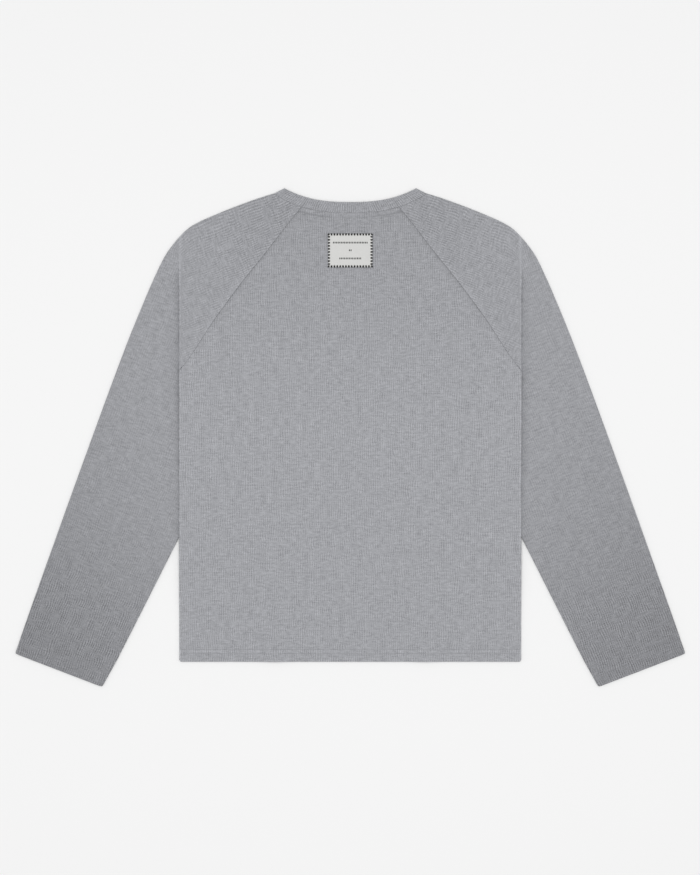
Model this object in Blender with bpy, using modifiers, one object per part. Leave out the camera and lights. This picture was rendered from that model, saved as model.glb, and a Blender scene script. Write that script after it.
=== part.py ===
"""Long-sleeve raglan crew-neck top in mini-waffle thermal knit, laid flat with its back up.

The body lies on the table. Each sleeve is swung down beside it: the tube of the sleeve turns
under at the body's side edge, turns out again on a hidden fold and comes out beneath the body.
Front, back, both sleeves, the neckband and the label are separate pieces of cloth.

+X is to the right as seen from above, +Y is towards the neck, +Z is up from the table.
Tables and sizes are in millimetres, and for the right half where a piece is symmetric.
"""
import math

import bmesh
import bpy
import numpy as np

MM = 0.001

# ---- cloth -------------------------------------------------------------------------------
WALL = 1.2            # thickness of the knit
LAYER = 1.6           # from the middle of one layer to the middle of the next
SEAM_GAP = 0.3        # between two pieces at their seam
EDGE = (LAYER + WALL) / 2    # from a folded edge's outside to the middle line of the two layers
TUBE_MIDDLE = EDGE    # height of the middle line of two layers that lie on the table
CURL = [
    # step of the key, height above the middle line: an edge that turns down to meet its seam
    (0.3, LAYER * 0.4),
    (0.6, SEAM_GAP / 2),
]

# ---- body --------------------------------------------------------------------------------
BODY_HALF = 256.0     # half of the width across the chest
HEM_Y = -336.5
UNDERARM_Y = 99.0

# ---- neck --------------------------------------------------------------------------------
TIP = (98.3, 374.4)       # highest point, where the band's inner edge folds over
SHOULDER = (114.0, 366.3)    # where the band's seam meets the shoulder line
BACK_BAND_Y = 353.2       # band's free edge at centre back
BACK_SEAM_Y = 337.4       # band's seam at centre back
BAND_EDGE_POWER = 2.57    # how late the free edge rises to its tip
BAND_SEAM_POWER = 2.66
FRONT_BAND_Y = 289.0      # band's free edge at centre front
FRONT_SEAM_Y = 271.0
FRONT_NECK_POWER = 2.2    # 2 is an ellipse, more is squarer

# ---- raglan seams ------------------------------------------------------------------------
BACK_RAGLAN_X = 73.0      # where the back seam meets the neckband
FRONT_RAGLAN_X = 98.0
# How far down each seam, as a fraction, and how far it bows from its chord towards the shoulder.
BACK_RAGLAN_BOW = (
    (0.0, 0.1, 0.2, 0.3, 0.4, 0.5, 0.6, 0.7, 0.8, 0.9, 1.0),
    (0.0, 1.5, 1.9, 2.6, 3.9, 4.8, 4.6, 3.8, 1.6, -0.4, 0.0),
)
FRONT_RAGLAN_BOW = ((0.0, 0.5, 1.0), (0.0, 0.5, 0.0))
RAGLAN_ACROSS = (0.79, 0.61)    # direction across a raglan seam, from the body to the sleeve

RAGLAN_HALF_GAP = SEAM_GAP / 2.0 / RAGLAN_ACROSS[0]    # half of the gap, measured along X

# ---- sleeves -----------------------------------------------------------------------------
# Shoulder line and outer edge of the sleeve, from the neckband down to the cuff.
OUTER_EDGE = [
    # x, y
    SHOULDER,
    (137.6, 359.0),
    (170.6, 347.0),
    (200.6, 335.0),
    (227.6, 323.0),
    (247.0, 310.5),
    (268.0, 287.0),
    (283.0, 263.0),
    (308.6, 206.0),
    (344.6, 116.0),
    (410.6, -64.0),
    (475.0, -244.0),
    (503.0, -324.3),
]
PLEAT_TOP = (BODY_HALF, 270.0)       # where the sleeve begins to turn under
UNDERARM = (BODY_HALF, UNDERARM_Y)
HIDDEN_CORNER = (198.0, -46.0)       # where the hidden fold meets the underarm seam
SLEEVE_EXIT = (BODY_HALF, -154.0)    # where the sleeve's inner edge comes out from the body
CUFF_INNER = (372.4, -374.4)
CUFF_OUTER = (503.0, -324.3)

# Sections across the pleat, from its top down: how far the cloth turns at each fold.
PLEAT_ROWS = [
    # y, turn in degrees
    (256.0, 40.0),
    (241.0, 85.0),
    (231.0, 130.0),
    (221.0, 180.0),
    (197.0, 180.0),
    (170.0, 180.0),
    (140.0, 180.0),
    (113.0, 180.0),
]
TURN_FULL_Y = 224.0       # from here down the cap lies on four hidden layers
CORNER_STEP = 5.0         # between the rows that go round a corner of the seam
UNDERARM_ROWS = [70.0, 35.0, 0.0]
CAP_ROWS = 5              # from the neckband to the top of the pleat
LOWER_ROWS = 6            # from the hidden corner to the cuff
FOLD_STEPS = 4            # facets round a fold

# ---- how the body rises over the sleeves --------------------------------------------------
RISE_REACH = 68.0         # from a hidden edge to where the body is down on the table again
RISE_FLAT = 9.0           # the body is already up this far before a hidden edge
RISE_CLEAR = 0.25         # extra height over the hidden layers

# ---- panels ------------------------------------------------------------------------------
COLUMNS = [0.0, 70.0, 120.0, 142.0, 160.0, 178.0, 195.0, 210.0, 225.0, 240.0]
PANEL_ROWS = [HEM_Y, -290.0, -245.0, -205.0, -165.0, -125.0, -85.0, -48.0, -10.0, 30.0, 62.0, 86.0]
UNDERARM_ROW = (96.0, 251.8)    # y, x: the panel's corner at the underarm
UNDERARM_RISE = 5.0       # from the underarm up to the first row on the raglan seams
COLUMN_CLEAR = 4.0        # a column this near a row's end is left out

# ---- label -------------------------------------------------------------------------------
LABEL_WIDTH = 66.0
LABEL_HEIGHT = 50.0
LABEL_WALL = 0.9
LABEL_Y = 280.5
LABEL_ROUND = 0.3

MATERIALS = {
    # name: (linear colour, roughness)
    "waffle_knit": ((0.35, 0.355, 0.372), 0.95),
    "rib_knit": ((0.33, 0.335, 0.352), 0.95),
    "woven_label": ((0.70, 0.71, 0.70), 0.85),
}


def between(a, b, s):
    """The value or point that lies the fraction s of the way from a to b."""
    if isinstance(a, tuple):
        return tuple(between(p, q, s) for p, q in zip(a, b))
    return a + (b - a) * s


def ease(s):
    """0 to 1 with a soft start and end."""
    s = min(max(s, 0.0), 1.0)
    return s * s * (3.0 - 2.0 * s)


def right_of(x, y, start, end):
    """Distance of (x, y) to the right of the line from start to end, negative to its left."""
    dx, dy = end[0] - start[0], end[1] - start[1]
    return ((x - start[0]) * dy - (y - start[1]) * dx) / math.hypot(dx, dy)


def rise(x, y):
    """Height of the body's underside above the table, over the hidden parts of the sleeve."""
    x = abs(x)
    beyond_fold = right_of(x, y, HIDDEN_CORNER, PLEAT_TOP)
    over_tube = min(beyond_fold, right_of(x, y, SLEEVE_EXIT, HIDDEN_CORNER))
    over_pleat = min(beyond_fold, right_of(x, y, UNDERARM, HIDDEN_CORNER))
    covered = sum(ease((d + RISE_REACH) / (RISE_REACH - RISE_FLAT)) for d in (over_tube, over_pleat))
    fade = ease((PLEAT_TOP[1] - y) / (PLEAT_TOP[1] - TURN_FULL_Y))
    return fade * covered * (2.0 * LAYER + RISE_CLEAR / 2.0)


def bowed(start, end, bow, s):
    """A point on a seam that bows to the left of its chord from start to end."""
    dx, dy = end[0] - start[0], end[1] - start[1]
    length = math.hypot(dx, dy)
    out = float(np.interp(s, *bow))
    x, y = between(start, end, s)
    return (x - dy / length * out, y + dx / length * out)


def tip_inset(point):
    """A point of the shoulder end of the neck, moved in to the middle line of its fold."""
    dx, dy = SHOULDER[0] - TIP[0], SHOULDER[1] - TIP[1]
    length = math.hypot(dx, dy)
    return (point[0] + dy / length * EDGE, point[1] - dx / length * EDGE)


BAND_TIP = tip_inset(TIP)
SEAM_TIP = tip_inset(SHOULDER)


def back_neck(x, shift=0.0):
    """Height of the back neck seam at x."""
    return BACK_SEAM_Y + shift + (SEAM_TIP[1] - BACK_SEAM_Y) * (x / SEAM_TIP[0]) ** BAND_SEAM_POWER


def back_band(x):
    """Height of the band's free edge at the back."""
    return BACK_BAND_Y + (BAND_TIP[1] - BACK_BAND_Y) * (x / BAND_TIP[0]) ** BAND_EDGE_POWER


def front_curve(tip, bottom_y, angle, grow=0.0):
    """A point of a front neck curve: angle 0 is at the shoulder, a right angle at the centre."""
    power = 2.0 / FRONT_NECK_POWER
    x = (tip[0] + grow) * max(math.cos(angle), 0.0) ** power
    y = tip[1] - (tip[1] - bottom_y + grow) * math.sin(angle) ** power
    return (x, y)


def front_angle(x):
    """The angle of front_curve at which the front neck seam is x from the centre."""
    return math.acos((x / SEAM_TIP[0]) ** (FRONT_NECK_POWER / 2.0))


FRONT_RAGLAN_ANGLE = front_angle(FRONT_RAGLAN_X)

# Where the neck seams have points, from the centre to the raglan seam and on to the shoulder.
NECK_STEPS = 6
SHOULDER_STEPS = 3
BACK_NECK_X = [BACK_RAGLAN_X * k / NECK_STEPS for k in range(NECK_STEPS)]
BACK_SHOULDER_X = [between(BACK_RAGLAN_X, SEAM_TIP[0], k / SHOULDER_STEPS) for k in range(SHOULDER_STEPS)]
FRONT_NECK_ANGLES = [between(math.pi / 2.0, FRONT_RAGLAN_ANGLE, k / NECK_STEPS)
                     for k in range(NECK_STEPS)]
FRONT_SHOULDER_ANGLES = [FRONT_RAGLAN_ANGLE * (1.0 - k / SHOULDER_STEPS) for k in range(SHOULDER_STEPS)]
FRONT_NECK_X = [front_curve(SEAM_TIP, FRONT_SEAM_Y, angle)[0] for angle in FRONT_NECK_ANGLES]
BACK_RAGLAN_TOP = (BACK_RAGLAN_X, back_neck(BACK_RAGLAN_X))
FRONT_RAGLAN_TOP = front_curve(SEAM_TIP, FRONT_SEAM_Y, FRONT_RAGLAN_ANGLE)


def raglan(side, s, shift=0.0):
    """A point of the back or front raglan seam, s from the neck down, shifted to the sleeve."""
    if side == "back":
        x, y = bowed(BACK_RAGLAN_TOP, UNDERARM, BACK_RAGLAN_BOW, s)
    else:
        x, y = bowed(FRONT_RAGLAN_TOP, UNDERARM, FRONT_RAGLAN_BOW, s)
    return (x + shift * RAGLAN_ACROSS[0], y + shift * RAGLAN_ACROSS[1])


def raglan_at(side, y):
    """How far down its raglan seam the height y lies, as a fraction."""
    low, high = 0.0, 1.0
    for _ in range(40):
        s = (low + high) / 2.0
        if raglan(side, s)[1] > y:
            low = s
        else:
            high = s
    return (low + high) / 2.0


def smooth_line(points, steps=12):
    """Points of a Catmull-Rom curve through the given points."""
    pts = [np.array(p) for p in points]
    pts = [2 * pts[0] - pts[1]] + pts + [2 * pts[-1] - pts[-2]]
    line = []
    for a, b, c, d in zip(pts, pts[1:], pts[2:], pts[3:]):
        for k in range(steps):
            s = k / steps
            line.append(0.5 * (2 * b + (c - a) * s + (2 * a - 5 * b + 4 * c - d) * s * s
                               + (3 * b - a - 3 * c + d) * s ** 3))
    line.append(pts[-2])
    return np.array(line)


OUTER_LINE = smooth_line(OUTER_EDGE)


def outer_x(y):
    """The sleeve's outer edge at the height y."""
    return float(np.interp(-y, -OUTER_LINE[:, 1], OUTER_LINE[:, 0]))


# ---- sheets built from rows ----------------------------------------------------------------

def strip(faces, row_a, row_b, flip):
    """Triangles between two rows of (key, vertex), which need not have the same keys."""
    i = j = 0
    while i < len(row_a) - 1 or j < len(row_b) - 1:
        next_a = row_a[i + 1][0] if i < len(row_a) - 1 else math.inf
        next_b = row_b[j + 1][0] if j < len(row_b) - 1 else math.inf
        made = []
        if next_a <= next_b:
            made.append([row_a[i][1], row_a[i + 1][1], row_b[j][1]])
            i += 1
        if next_b <= next_a:
            made.append([row_a[i][1], row_b[j + 1][1], row_b[j][1]])
            j += 1
        for face in made:
            if len(set(face)) == 3:
                faces.append(face[::-1] if flip else face)


def sheet_mesh(name, halves):
    """A mesh from lists of rows. Rows hold (key, point), and equal points are one vertex."""
    verts = []
    seen = {}
    faces = []
    for rows, flip in halves:
        indexed = []
        for row in rows:
            keyed = []
            for key, point in row:
                place = tuple(round(c, 4) for c in point)
                if place not in seen:
                    seen[place] = len(verts)
                    verts.append([c * MM for c in point])
                keyed.append((key, seen[place]))
            indexed.append(keyed)
        for row_a, row_b in zip(indexed, indexed[1:]):
            strip(faces, row_a, row_b, flip)
    mesh = bpy.data.meshes.new(name)
    mesh.from_pydata(verts, [], faces)
    shape = bmesh.new()
    shape.from_mesh(mesh)
    bmesh.ops.recalc_face_normals(shape, faces=shape.faces)
    shape.to_mesh(mesh)
    shape.free()
    return mesh


def material(name):
    """The named cloth."""
    made = bpy.data.materials.get(name)
    if made is None:
        colour, roughness = MATERIALS[name]
        made = bpy.data.materials.new(name)
        made.use_nodes = True
        shader = made.node_tree.nodes["Principled BSDF"]
        shader.inputs["Base Color"].default_value = (*colour, 1.0)
        shader.inputs["Roughness"].default_value = roughness
        shader.inputs["Metallic"].default_value = 0.0
    return made


def add_piece(mesh, collection, cloth, mirrored, wall=WALL):
    """A piece of cloth: the sheet, mirrored where it is symmetric, with its wall."""
    piece = bpy.data.objects.new(mesh.name, mesh)
    collection.objects.link(piece)
    mesh.materials.append(material(cloth))
    mesh.shade_smooth()
    mesh.set_sharp_from_angle(angle=math.radians(50.0))
    if mirrored:
        mirror = piece.modifiers.new("other_half", "MIRROR")
        mirror.use_clip = True
        mirror.merge_threshold = 0.0001
    walls = piece.modifiers.new("wall", "SOLIDIFY")
    walls.thickness = wall * MM
    walls.offset = 0.0
    return piece


# ---- body panels -----------------------------------------------------------------------------

def panel_row(columns, width, y_of, layer):
    """One row of a panel, from the centre line to x = width. Its keys are the columns."""
    row = []
    for x in [x for x in columns if x < width - COLUMN_CLEAR] + [width]:
        y = y_of(x)
        row.append((x, (x, y, TUBE_MIDDLE + layer * LAYER / 2.0 + rise(x, y))))
    return row


def side_edge(row, y, layer):
    """Curls a body row's edge round to the side seam."""
    last = row[-1][0]
    middle = TUBE_MIDDLE + rise(BODY_HALF - EDGE, y)
    for step, height in CURL:
        row.append((last + step, (BODY_HALF - EDGE + LAYER / 2.0, y, middle + layer * height)))
    return row


def panel_rows(side):
    """Rows of the back or front panel: side seams up to the underarm, then the raglan seams."""
    layer, top, neck_columns = 1.0, BACK_RAGLAN_TOP, BACK_NECK_X
    if side == "front":
        layer, top, neck_columns = -1.0, FRONT_RAGLAN_TOP, FRONT_NECK_X

    def neck_fall(x):
        if x >= top[0]:
            return 0.0
        if side == "back":
            return top[1] - back_neck(x)
        return top[1] - front_curve(SEAM_TIP, FRONT_SEAM_Y, front_angle(x))[1]

    def add_row(columns, x, y):
        fall = max((y - UNDERARM_Y) / (top[1] - UNDERARM_Y), 0.0) ** 2
        rows.append(panel_row(columns, x, lambda x: y - fall * neck_fall(x), layer))

    rows = []
    for y in PANEL_ROWS:
        add_row(COLUMNS, BODY_HALF - EDGE, y)
        side_edge(rows[-1], y, layer)
    add_row(COLUMNS, UNDERARM_ROW[1], UNDERARM_ROW[0])
    for y in [UNDERARM_Y + UNDERARM_RISE] + [y for y, _ in reversed(PLEAT_ROWS)] + [PLEAT_TOP[1]]:
        add_row(COLUMNS, raglan(side, raglan_at(side, y))[0] - RAGLAN_HALF_GAP, y)
    pleat_top = raglan_at(side, PLEAT_TOP[1])
    for k in range(1, CAP_ROWS + 1):
        x, y = raglan(side, pleat_top * (1.0 - k / CAP_ROWS), -SEAM_GAP / 2.0)
        add_row([column * x / top[0] for column in neck_columns], x, y)
    return rows


def make_panel(side, collection):
    mesh = sheet_mesh(side + "_panel", [(panel_rows(side), False)])
    return add_piece(mesh, collection, "waffle_knit", mirrored=True)


# ---- sleeves ---------------------------------------------------------------------------------
# A row of a sleeve follows the middle line between its two layers, from the seam to the outer
# edge. Its points have keys that count inwards from the outer edge, so that rows match.
KEY_EDGE = 2.0
KEYS_OUTSIDE = (5.0, 4.0, 3.0)
KEY_LOWER_FOLD = 6.0
KEY_UPPER_FOLD = KEY_LOWER_FOLD + FOLD_STEPS + 1
KEY_CAP = 1000.0      # on the cap a key is this less x


def layers(path, origin, heading, closed=False):
    """The two layers either side of a middle line of (key, s, z, normal angle from upright)."""
    def place(s, z):
        return (origin[0] + heading[0] * s, origin[1] + heading[1] * s, z)

    half = LAYER / 2.0
    _, s_edge, z_edge, _ = path[-1]
    both = []
    for sign in (1.0, -1.0):
        row = [(0.0, place(s_edge + half, z_edge))]
        slant = half * math.sqrt(0.5)
        row.append((1.0, place(s_edge + slant, z_edge + sign * slant)))
        for key, s, z, lean in reversed(path):
            row.append((key, place(s + sign * half * math.sin(lean), z + sign * half * math.cos(lean))))
        if closed:
            key, s, z, _ = path[0]
            for step, height in CURL:
                row.append((key + step, place(s - half, z + sign * height)))
        both.append(row)
    return both


def outside(s_from, s_to):
    """The stretch beyond the folds, on the table, out to the edge."""
    path = []
    for key, part in zip(KEYS_OUTSIDE, (0.25, 0.5, 0.75)):
        path.append((key, between(s_from, s_to, part), TUBE_MIDDLE, 0.0))
    path.append((KEY_EDGE, s_to, TUBE_MIDDLE, 0.0))
    return path


def hidden_x(y):
    """Inner side of the hidden fold at the height y."""
    s = (PLEAT_TOP[1] - y) / (PLEAT_TOP[1] - HIDDEN_CORNER[1])
    return between(PLEAT_TOP[0], HIDDEN_CORNER[0], s)


def folds(y, turn):
    """Middle line round the upper and the lower fold of the pleat, at the height y."""
    fall = rise(BODY_HALF, y) if turn < math.pi else 4.0 * LAYER
    radius = fall / (2.0 * (1.0 - math.cos(turn)))
    x = BODY_HALF - radius * math.sin(min(turn, math.pi / 2.0)) - EDGE * max(-math.cos(turn), 0.0)
    length = 0.0
    if turn == math.pi:
        length = max(x - (hidden_x(y) + radius + EDGE), 0.0)
    z = TUBE_MIDDLE + fall
    path = []
    for k in range(FOLD_STEPS + 1):
        lean = turn * k / FOLD_STEPS
        path.append((KEY_UPPER_FOLD + FOLD_STEPS - k, x + radius * math.sin(lean),
                     z - radius * (1.0 - math.cos(lean)), lean))
    x += radius * math.sin(turn) + length * math.cos(turn)
    z -= radius * (1.0 - math.cos(turn)) + length * math.sin(turn)
    for k in range(FOLD_STEPS + 1):
        lean = turn * (1.0 - k / FOLD_STEPS)
        path.append((KEY_LOWER_FOLD + FOLD_STEPS - k, x + radius * (math.sin(turn) - math.sin(lean)),
                     z - radius * (math.cos(lean) - math.cos(turn)), lean))
    return path


def cap_rows():
    """Rows from the neckband to the top of the pleat, each layer to its own raglan seam."""
    rows = []
    half = LAYER / 2.0
    slant = half * math.sqrt(0.5)
    edge_to = (outer_x(PLEAT_TOP[1]), PLEAT_TOP[1])
    start = OUTER_LINE[:, 1] >= PLEAT_TOP[1]
    line = np.vstack([OUTER_LINE[start], [edge_to]])
    run = np.concatenate([[0.0], np.cumsum(np.hypot(*np.diff(line, axis=0).T))])

    def edge_at(distance):
        return (float(np.interp(distance, run, line[:, 0])), float(np.interp(distance, run, line[:, 1])))

    for k in range(CAP_ROWS + 1):
        part = k / CAP_ROWS
        along = max(part * run[-1], SEAM_GAP)
        edge = edge_at(along)
        before, after = edge_at(along - EDGE), edge_at(along + EDGE)
        length = math.dist(before, after)
        out = ((before[1] - after[1]) / length, (after[0] - before[0]) / length)
        folded = (edge[0] - out[0] * EDGE, edge[1] - out[1] * EDGE)
        pair = []
        for side, sign in (("back", 1.0), ("front", -1.0)):
            top = raglan_at(side, PLEAT_TOP[1])
            seam = raglan(side, part * top, SEAM_GAP / 2.0)

            def lay(point, lift=sign * half):
                return (*point, TUBE_MIDDLE + lift + rise(*point))
            row = [(0.0, (folded[0] + out[0] * half, folded[1] + out[1] * half, TUBE_MIDDLE)),
                   (1.0, (folded[0] + out[0] * slant, folded[1] + out[1] * slant,
                          TUBE_MIDDLE + sign * slant)),
                   (KEY_EDGE, lay(folded))]
            for step in range(SHOULDER_STEPS - 1, 0, -1):
                point = between(seam, folded, step / SHOULDER_STEPS)
                if k == 0 and side == "back":
                    x = BACK_SHOULDER_X[step]
                    point = (x, back_neck(x, -SEAM_GAP / 2.0))
                elif k == 0:
                    point = front_curve(SEAM_TIP, FRONT_SEAM_Y, FRONT_SHOULDER_ANGLES[step], SEAM_GAP / 2.0)
                row.append((KEY_CAP - point[0], lay(point)))
            row.append((KEY_CAP - seam[0], lay(seam)))
            pair.append(row)
        rows.append(pair)
    return rows


def pleat_rows():
    """Rows across the pleat, from its top to the underarm."""
    rows = []
    for y, degrees in PLEAT_ROWS:
        path = folds(y, math.radians(degrees))
        path += outside(path[-1][1], outer_x(y) - EDGE)
        pair = layers(path, (0.0, y), (1.0, 0.0))
        upper_x = path[0][1]
        for row, side, sign in zip(pair, ("back", "front"), (1.0, -1.0)):
            seam_x = raglan(side, raglan_at(side, y))[0] + RAGLAN_HALF_GAP
            across = [x for x in reversed(COLUMNS) if abs(x - (seam_x + upper_x) / 2.0)
                      < (upper_x - seam_x) / 2.0 - COLUMN_CLEAR]
            for x in across + [seam_x]:
                height = TUBE_MIDDLE + sign * LAYER / 2.0 + rise(x, y)
                row.append((KEY_CAP - x, (x, y, height)))
        rows.append(pair)
    return rows


def corner_rows(corner_y, first):
    """Three rows whose seam end goes round a fold: on its top, at its side and below it."""
    rows = []
    for k in range(3):
        y = corner_y + CORNER_STEP * (1 - k)
        folded = folds(y, math.pi)[first + k * FOLD_STEPS // 2:]
        path = folded + outside(folded[-1][1], outer_x(y) - EDGE)
        rows.append(layers(path, (0.0, y), (1.0, 0.0)))
    return rows


def underarm_rows():
    """Rows from the underarm down to the hidden corner, where the seam is on the middle layers."""
    rows = corner_rows(UNDERARM_Y, 0)
    seam_top = UNDERARM_Y - CORNER_STEP
    seam_end = HIDDEN_CORNER[1] + CORNER_STEP
    upper = folds(seam_top, math.pi)[FOLD_STEPS][1]
    lower = folds(seam_end, math.pi)[FOLD_STEPS + 1][1]
    for y in UNDERARM_ROWS:
        seam = between(upper, lower, (seam_top - y) / (seam_top - seam_end))
        path = folds(y, math.pi)[FOLD_STEPS + 1:]
        key, _, z, lean = folds(y, math.pi)[FOLD_STEPS]
        path = [(key, seam, z, lean)] + path
        path += outside(path[-1][1], outer_x(y) - EDGE)
        rows.append(layers(path, (0.0, y), (1.0, 0.0)))
    rows += corner_rows(HIDDEN_CORNER[1], FOLD_STEPS + 1)
    return rows


def lower_rows():
    """Rows from below the hidden corner to the cuff, swinging round to lie along the cuff."""
    rows = []
    first_y = HIDDEN_CORNER[1] - CORNER_STEP
    run = CUFF_OUTER[1] - first_y
    for k in range(1, LOWER_ROWS + 1):
        part = k / LOWER_ROWS
        inner = between((hidden_x(first_y), first_y), CUFF_INNER, part)
        edge_y = first_y + run * part
        edge = (outer_x(edge_y), edge_y)
        length = math.dist(inner, edge)
        heading = ((edge[0] - inner[0]) / length, (edge[1] - inner[1]) / length)
        path = [(KEY_LOWER_FOLD, EDGE, TUBE_MIDDLE, 0.0)]
        path += outside(EDGE, length - EDGE)
        rows.append(layers(path, inner, heading, closed=True))
    return rows


def make_sleeves(collection):
    """The right sleeve from its rows, and the left one as its mirror image."""
    rows = cap_rows() + pleat_rows() + underarm_rows() + lower_rows()
    backs = [pair[0] for pair in rows]
    fronts = [pair[1] for pair in rows]
    right = sheet_mesh("sleeve_right", [(backs, False), (fronts, True)])
    left = right.copy()
    left.name = "sleeve_left"
    for vertex in left.vertices:
        vertex.co.x = -vertex.co.x
    left.flip_normals()
    for mesh in (left, right):
        add_piece(mesh, collection, "waffle_knit", mirrored=False)


# ---- neckband --------------------------------------------------------------------------------

def make_neckband(collection):
    """A ring of rib: along the back neck, folded over at each shoulder, and along the front."""
    tip_steps = 4
    half = LAYER / 2.0
    dx, dy = SEAM_TIP[0] - BAND_TIP[0], SEAM_TIP[1] - BAND_TIP[1]
    length = math.hypot(dx, dy)
    out = (-dy / length, dx / length)
    rows = []
    for seam_x in BACK_NECK_X + BACK_SHOULDER_X:
        edge_x = BAND_TIP[0] * seam_x / SEAM_TIP[0]
        rows.append([(0, (edge_x, back_band(edge_x), TUBE_MIDDLE + half)),
                     (1, (seam_x, back_neck(seam_x, SEAM_GAP / 2.0), TUBE_MIDDLE + half))])
    for k in range(tip_steps + 1):
        angle = math.pi / 2.0 - math.pi * k / tip_steps
        z = TUBE_MIDDLE + half * math.sin(angle)
        reach = half * math.cos(angle)
        rows.append([(key, (x + out[0] * reach, y + out[1] * reach + key * SEAM_GAP / 2.0, z))
                     for key, (x, y) in enumerate((BAND_TIP, SEAM_TIP))])
    for angle in FRONT_SHOULDER_ANGLES[::-1] + FRONT_NECK_ANGLES[::-1]:
        edge = front_curve(BAND_TIP, FRONT_BAND_Y, angle)
        seam = front_curve(SEAM_TIP, FRONT_SEAM_Y, angle, -SEAM_GAP / 2.0)
        rows.append([(0, (*edge, TUBE_MIDDLE - half)), (1, (*seam, TUBE_MIDDLE - half))])
    add_piece(sheet_mesh("neckband", [(rows, False)]), collection, "rib_knit", mirrored=True)


# ---- label -----------------------------------------------------------------------------------

def make_label(collection):
    """A woven patch that lies on the back panel."""
    bpy.ops.mesh.primitive_cube_add(size=1.0)
    label = bpy.context.object
    label.name = "label"
    label.data.name = "label"
    label.dimensions = (LABEL_WIDTH * MM, LABEL_HEIGHT * MM, LABEL_WALL * MM)
    bpy.ops.object.transform_apply(location=False, rotation=False, scale=True)
    under = 2.0 * TUBE_MIDDLE + SEAM_GAP
    label.location = (0.0, LABEL_Y * MM, (under + LABEL_WALL / 2.0) * MM)
    for owner in list(label.users_collection):
        owner.objects.unlink(label)
    collection.objects.link(label)
    label.data.materials.append(material("woven_label"))
    rounding = label.modifiers.new("rounding", "BEVEL")
    rounding.width = LABEL_ROUND * MM
    rounding.segments = 2


def main():
    for thing in list(bpy.data.objects):
        bpy.data.objects.remove(thing)
    collection = bpy.data.collections.new("thermal_top")
    bpy.context.scene.collection.children.link(collection)
    make_panel("back", collection)
    make_panel("front", collection)
    make_sleeves(collection)
    make_neckband(collection)
    make_label(collection)


main()
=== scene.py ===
"""Looks of a long-sleeve raglan top in heather grey mini-waffle knit, laid flat with its back up.

Each cut piece is a thin shell on its solid's form: two body panels, two sleeves folded under
the body in a pleat, the neckband and the woven label. Coverstitching at the hem, the cuffs and
the neck is laid as thread, and every material is a node pattern in real millimetres.
Sizes in the tables below are in millimetres, for the right half where a piece is symmetric.
"""

import math

import bmesh
import bpy
import numpy as np
from bpy.props import FloatProperty, IntProperty, PointerProperty, StringProperty
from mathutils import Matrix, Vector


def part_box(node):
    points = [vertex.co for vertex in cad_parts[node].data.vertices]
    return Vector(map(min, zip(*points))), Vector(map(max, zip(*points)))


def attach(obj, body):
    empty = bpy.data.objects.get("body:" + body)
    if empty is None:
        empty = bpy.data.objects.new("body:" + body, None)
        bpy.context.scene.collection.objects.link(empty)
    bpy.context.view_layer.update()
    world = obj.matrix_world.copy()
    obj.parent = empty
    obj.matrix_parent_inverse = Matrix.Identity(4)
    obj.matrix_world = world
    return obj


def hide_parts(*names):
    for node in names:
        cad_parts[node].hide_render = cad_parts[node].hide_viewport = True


bl_info = {
    "name": "Waffle Knit Top",
    "version": (1, 0, 0),
    "blender": (4, 5, 0),
    "location": "3D View > Sidebar > Knit Top",
    "description": "Builds a laid-out raglan top in waffle knit round its packed solids",
    "category": "Add Mesh",
}

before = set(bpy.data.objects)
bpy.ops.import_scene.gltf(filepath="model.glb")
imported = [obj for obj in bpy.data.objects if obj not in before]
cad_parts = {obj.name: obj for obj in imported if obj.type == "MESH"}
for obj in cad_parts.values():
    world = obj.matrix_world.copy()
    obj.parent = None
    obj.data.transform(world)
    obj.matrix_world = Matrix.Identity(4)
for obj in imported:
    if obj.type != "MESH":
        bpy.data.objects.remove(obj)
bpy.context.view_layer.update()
MM = 0.001

# ---- the cut, as the solids have it ------------------------------------------
SOLID_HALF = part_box("back_panel")[1].x / MM
BODY_HALF = SOLID_HALF + 0.5    # as its curled edge catches no light
HEM_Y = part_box("back_panel")[0].y / MM
WALL = 1.2                   # thickness of the cloth
LAYER = 1.6                  # from the middle of one layer to the middle of the next
SEAM_GAP = 0.3               # between two sewn edges
EDGE = (LAYER + WALL) / 2    # from a folded edge's outside to the middle line of two layers
TUBE_MIDDLE = EDGE           # height of the middle line of two layers that lie on the table
HALF = LAYER / 2
UNDERARM_Y = 99.0
TIP = (98.3, 374.4)          # where the neckband's free edge folds over the shoulder
SHOULDER = (114.0, 366.3)    # where its seam does
BACK_BAND_Y = 353.2          # the neckband's free edge at the centre back, and its seam
BACK_SEAM_Y = 337.4
BAND_EDGE_POWER = 2.57       # how late their curves rise towards the shoulder
BAND_SEAM_POWER = 2.66
FRONT_BAND_Y = 289.0         # and the same at the front, on superellipses
FRONT_SEAM_Y = 271.0
FRONT_NECK_POWER = 2.2
BACK_RAGLAN_X = 73.0         # where the raglan seams meet the neck seam
FRONT_RAGLAN_X = 98.0
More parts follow.
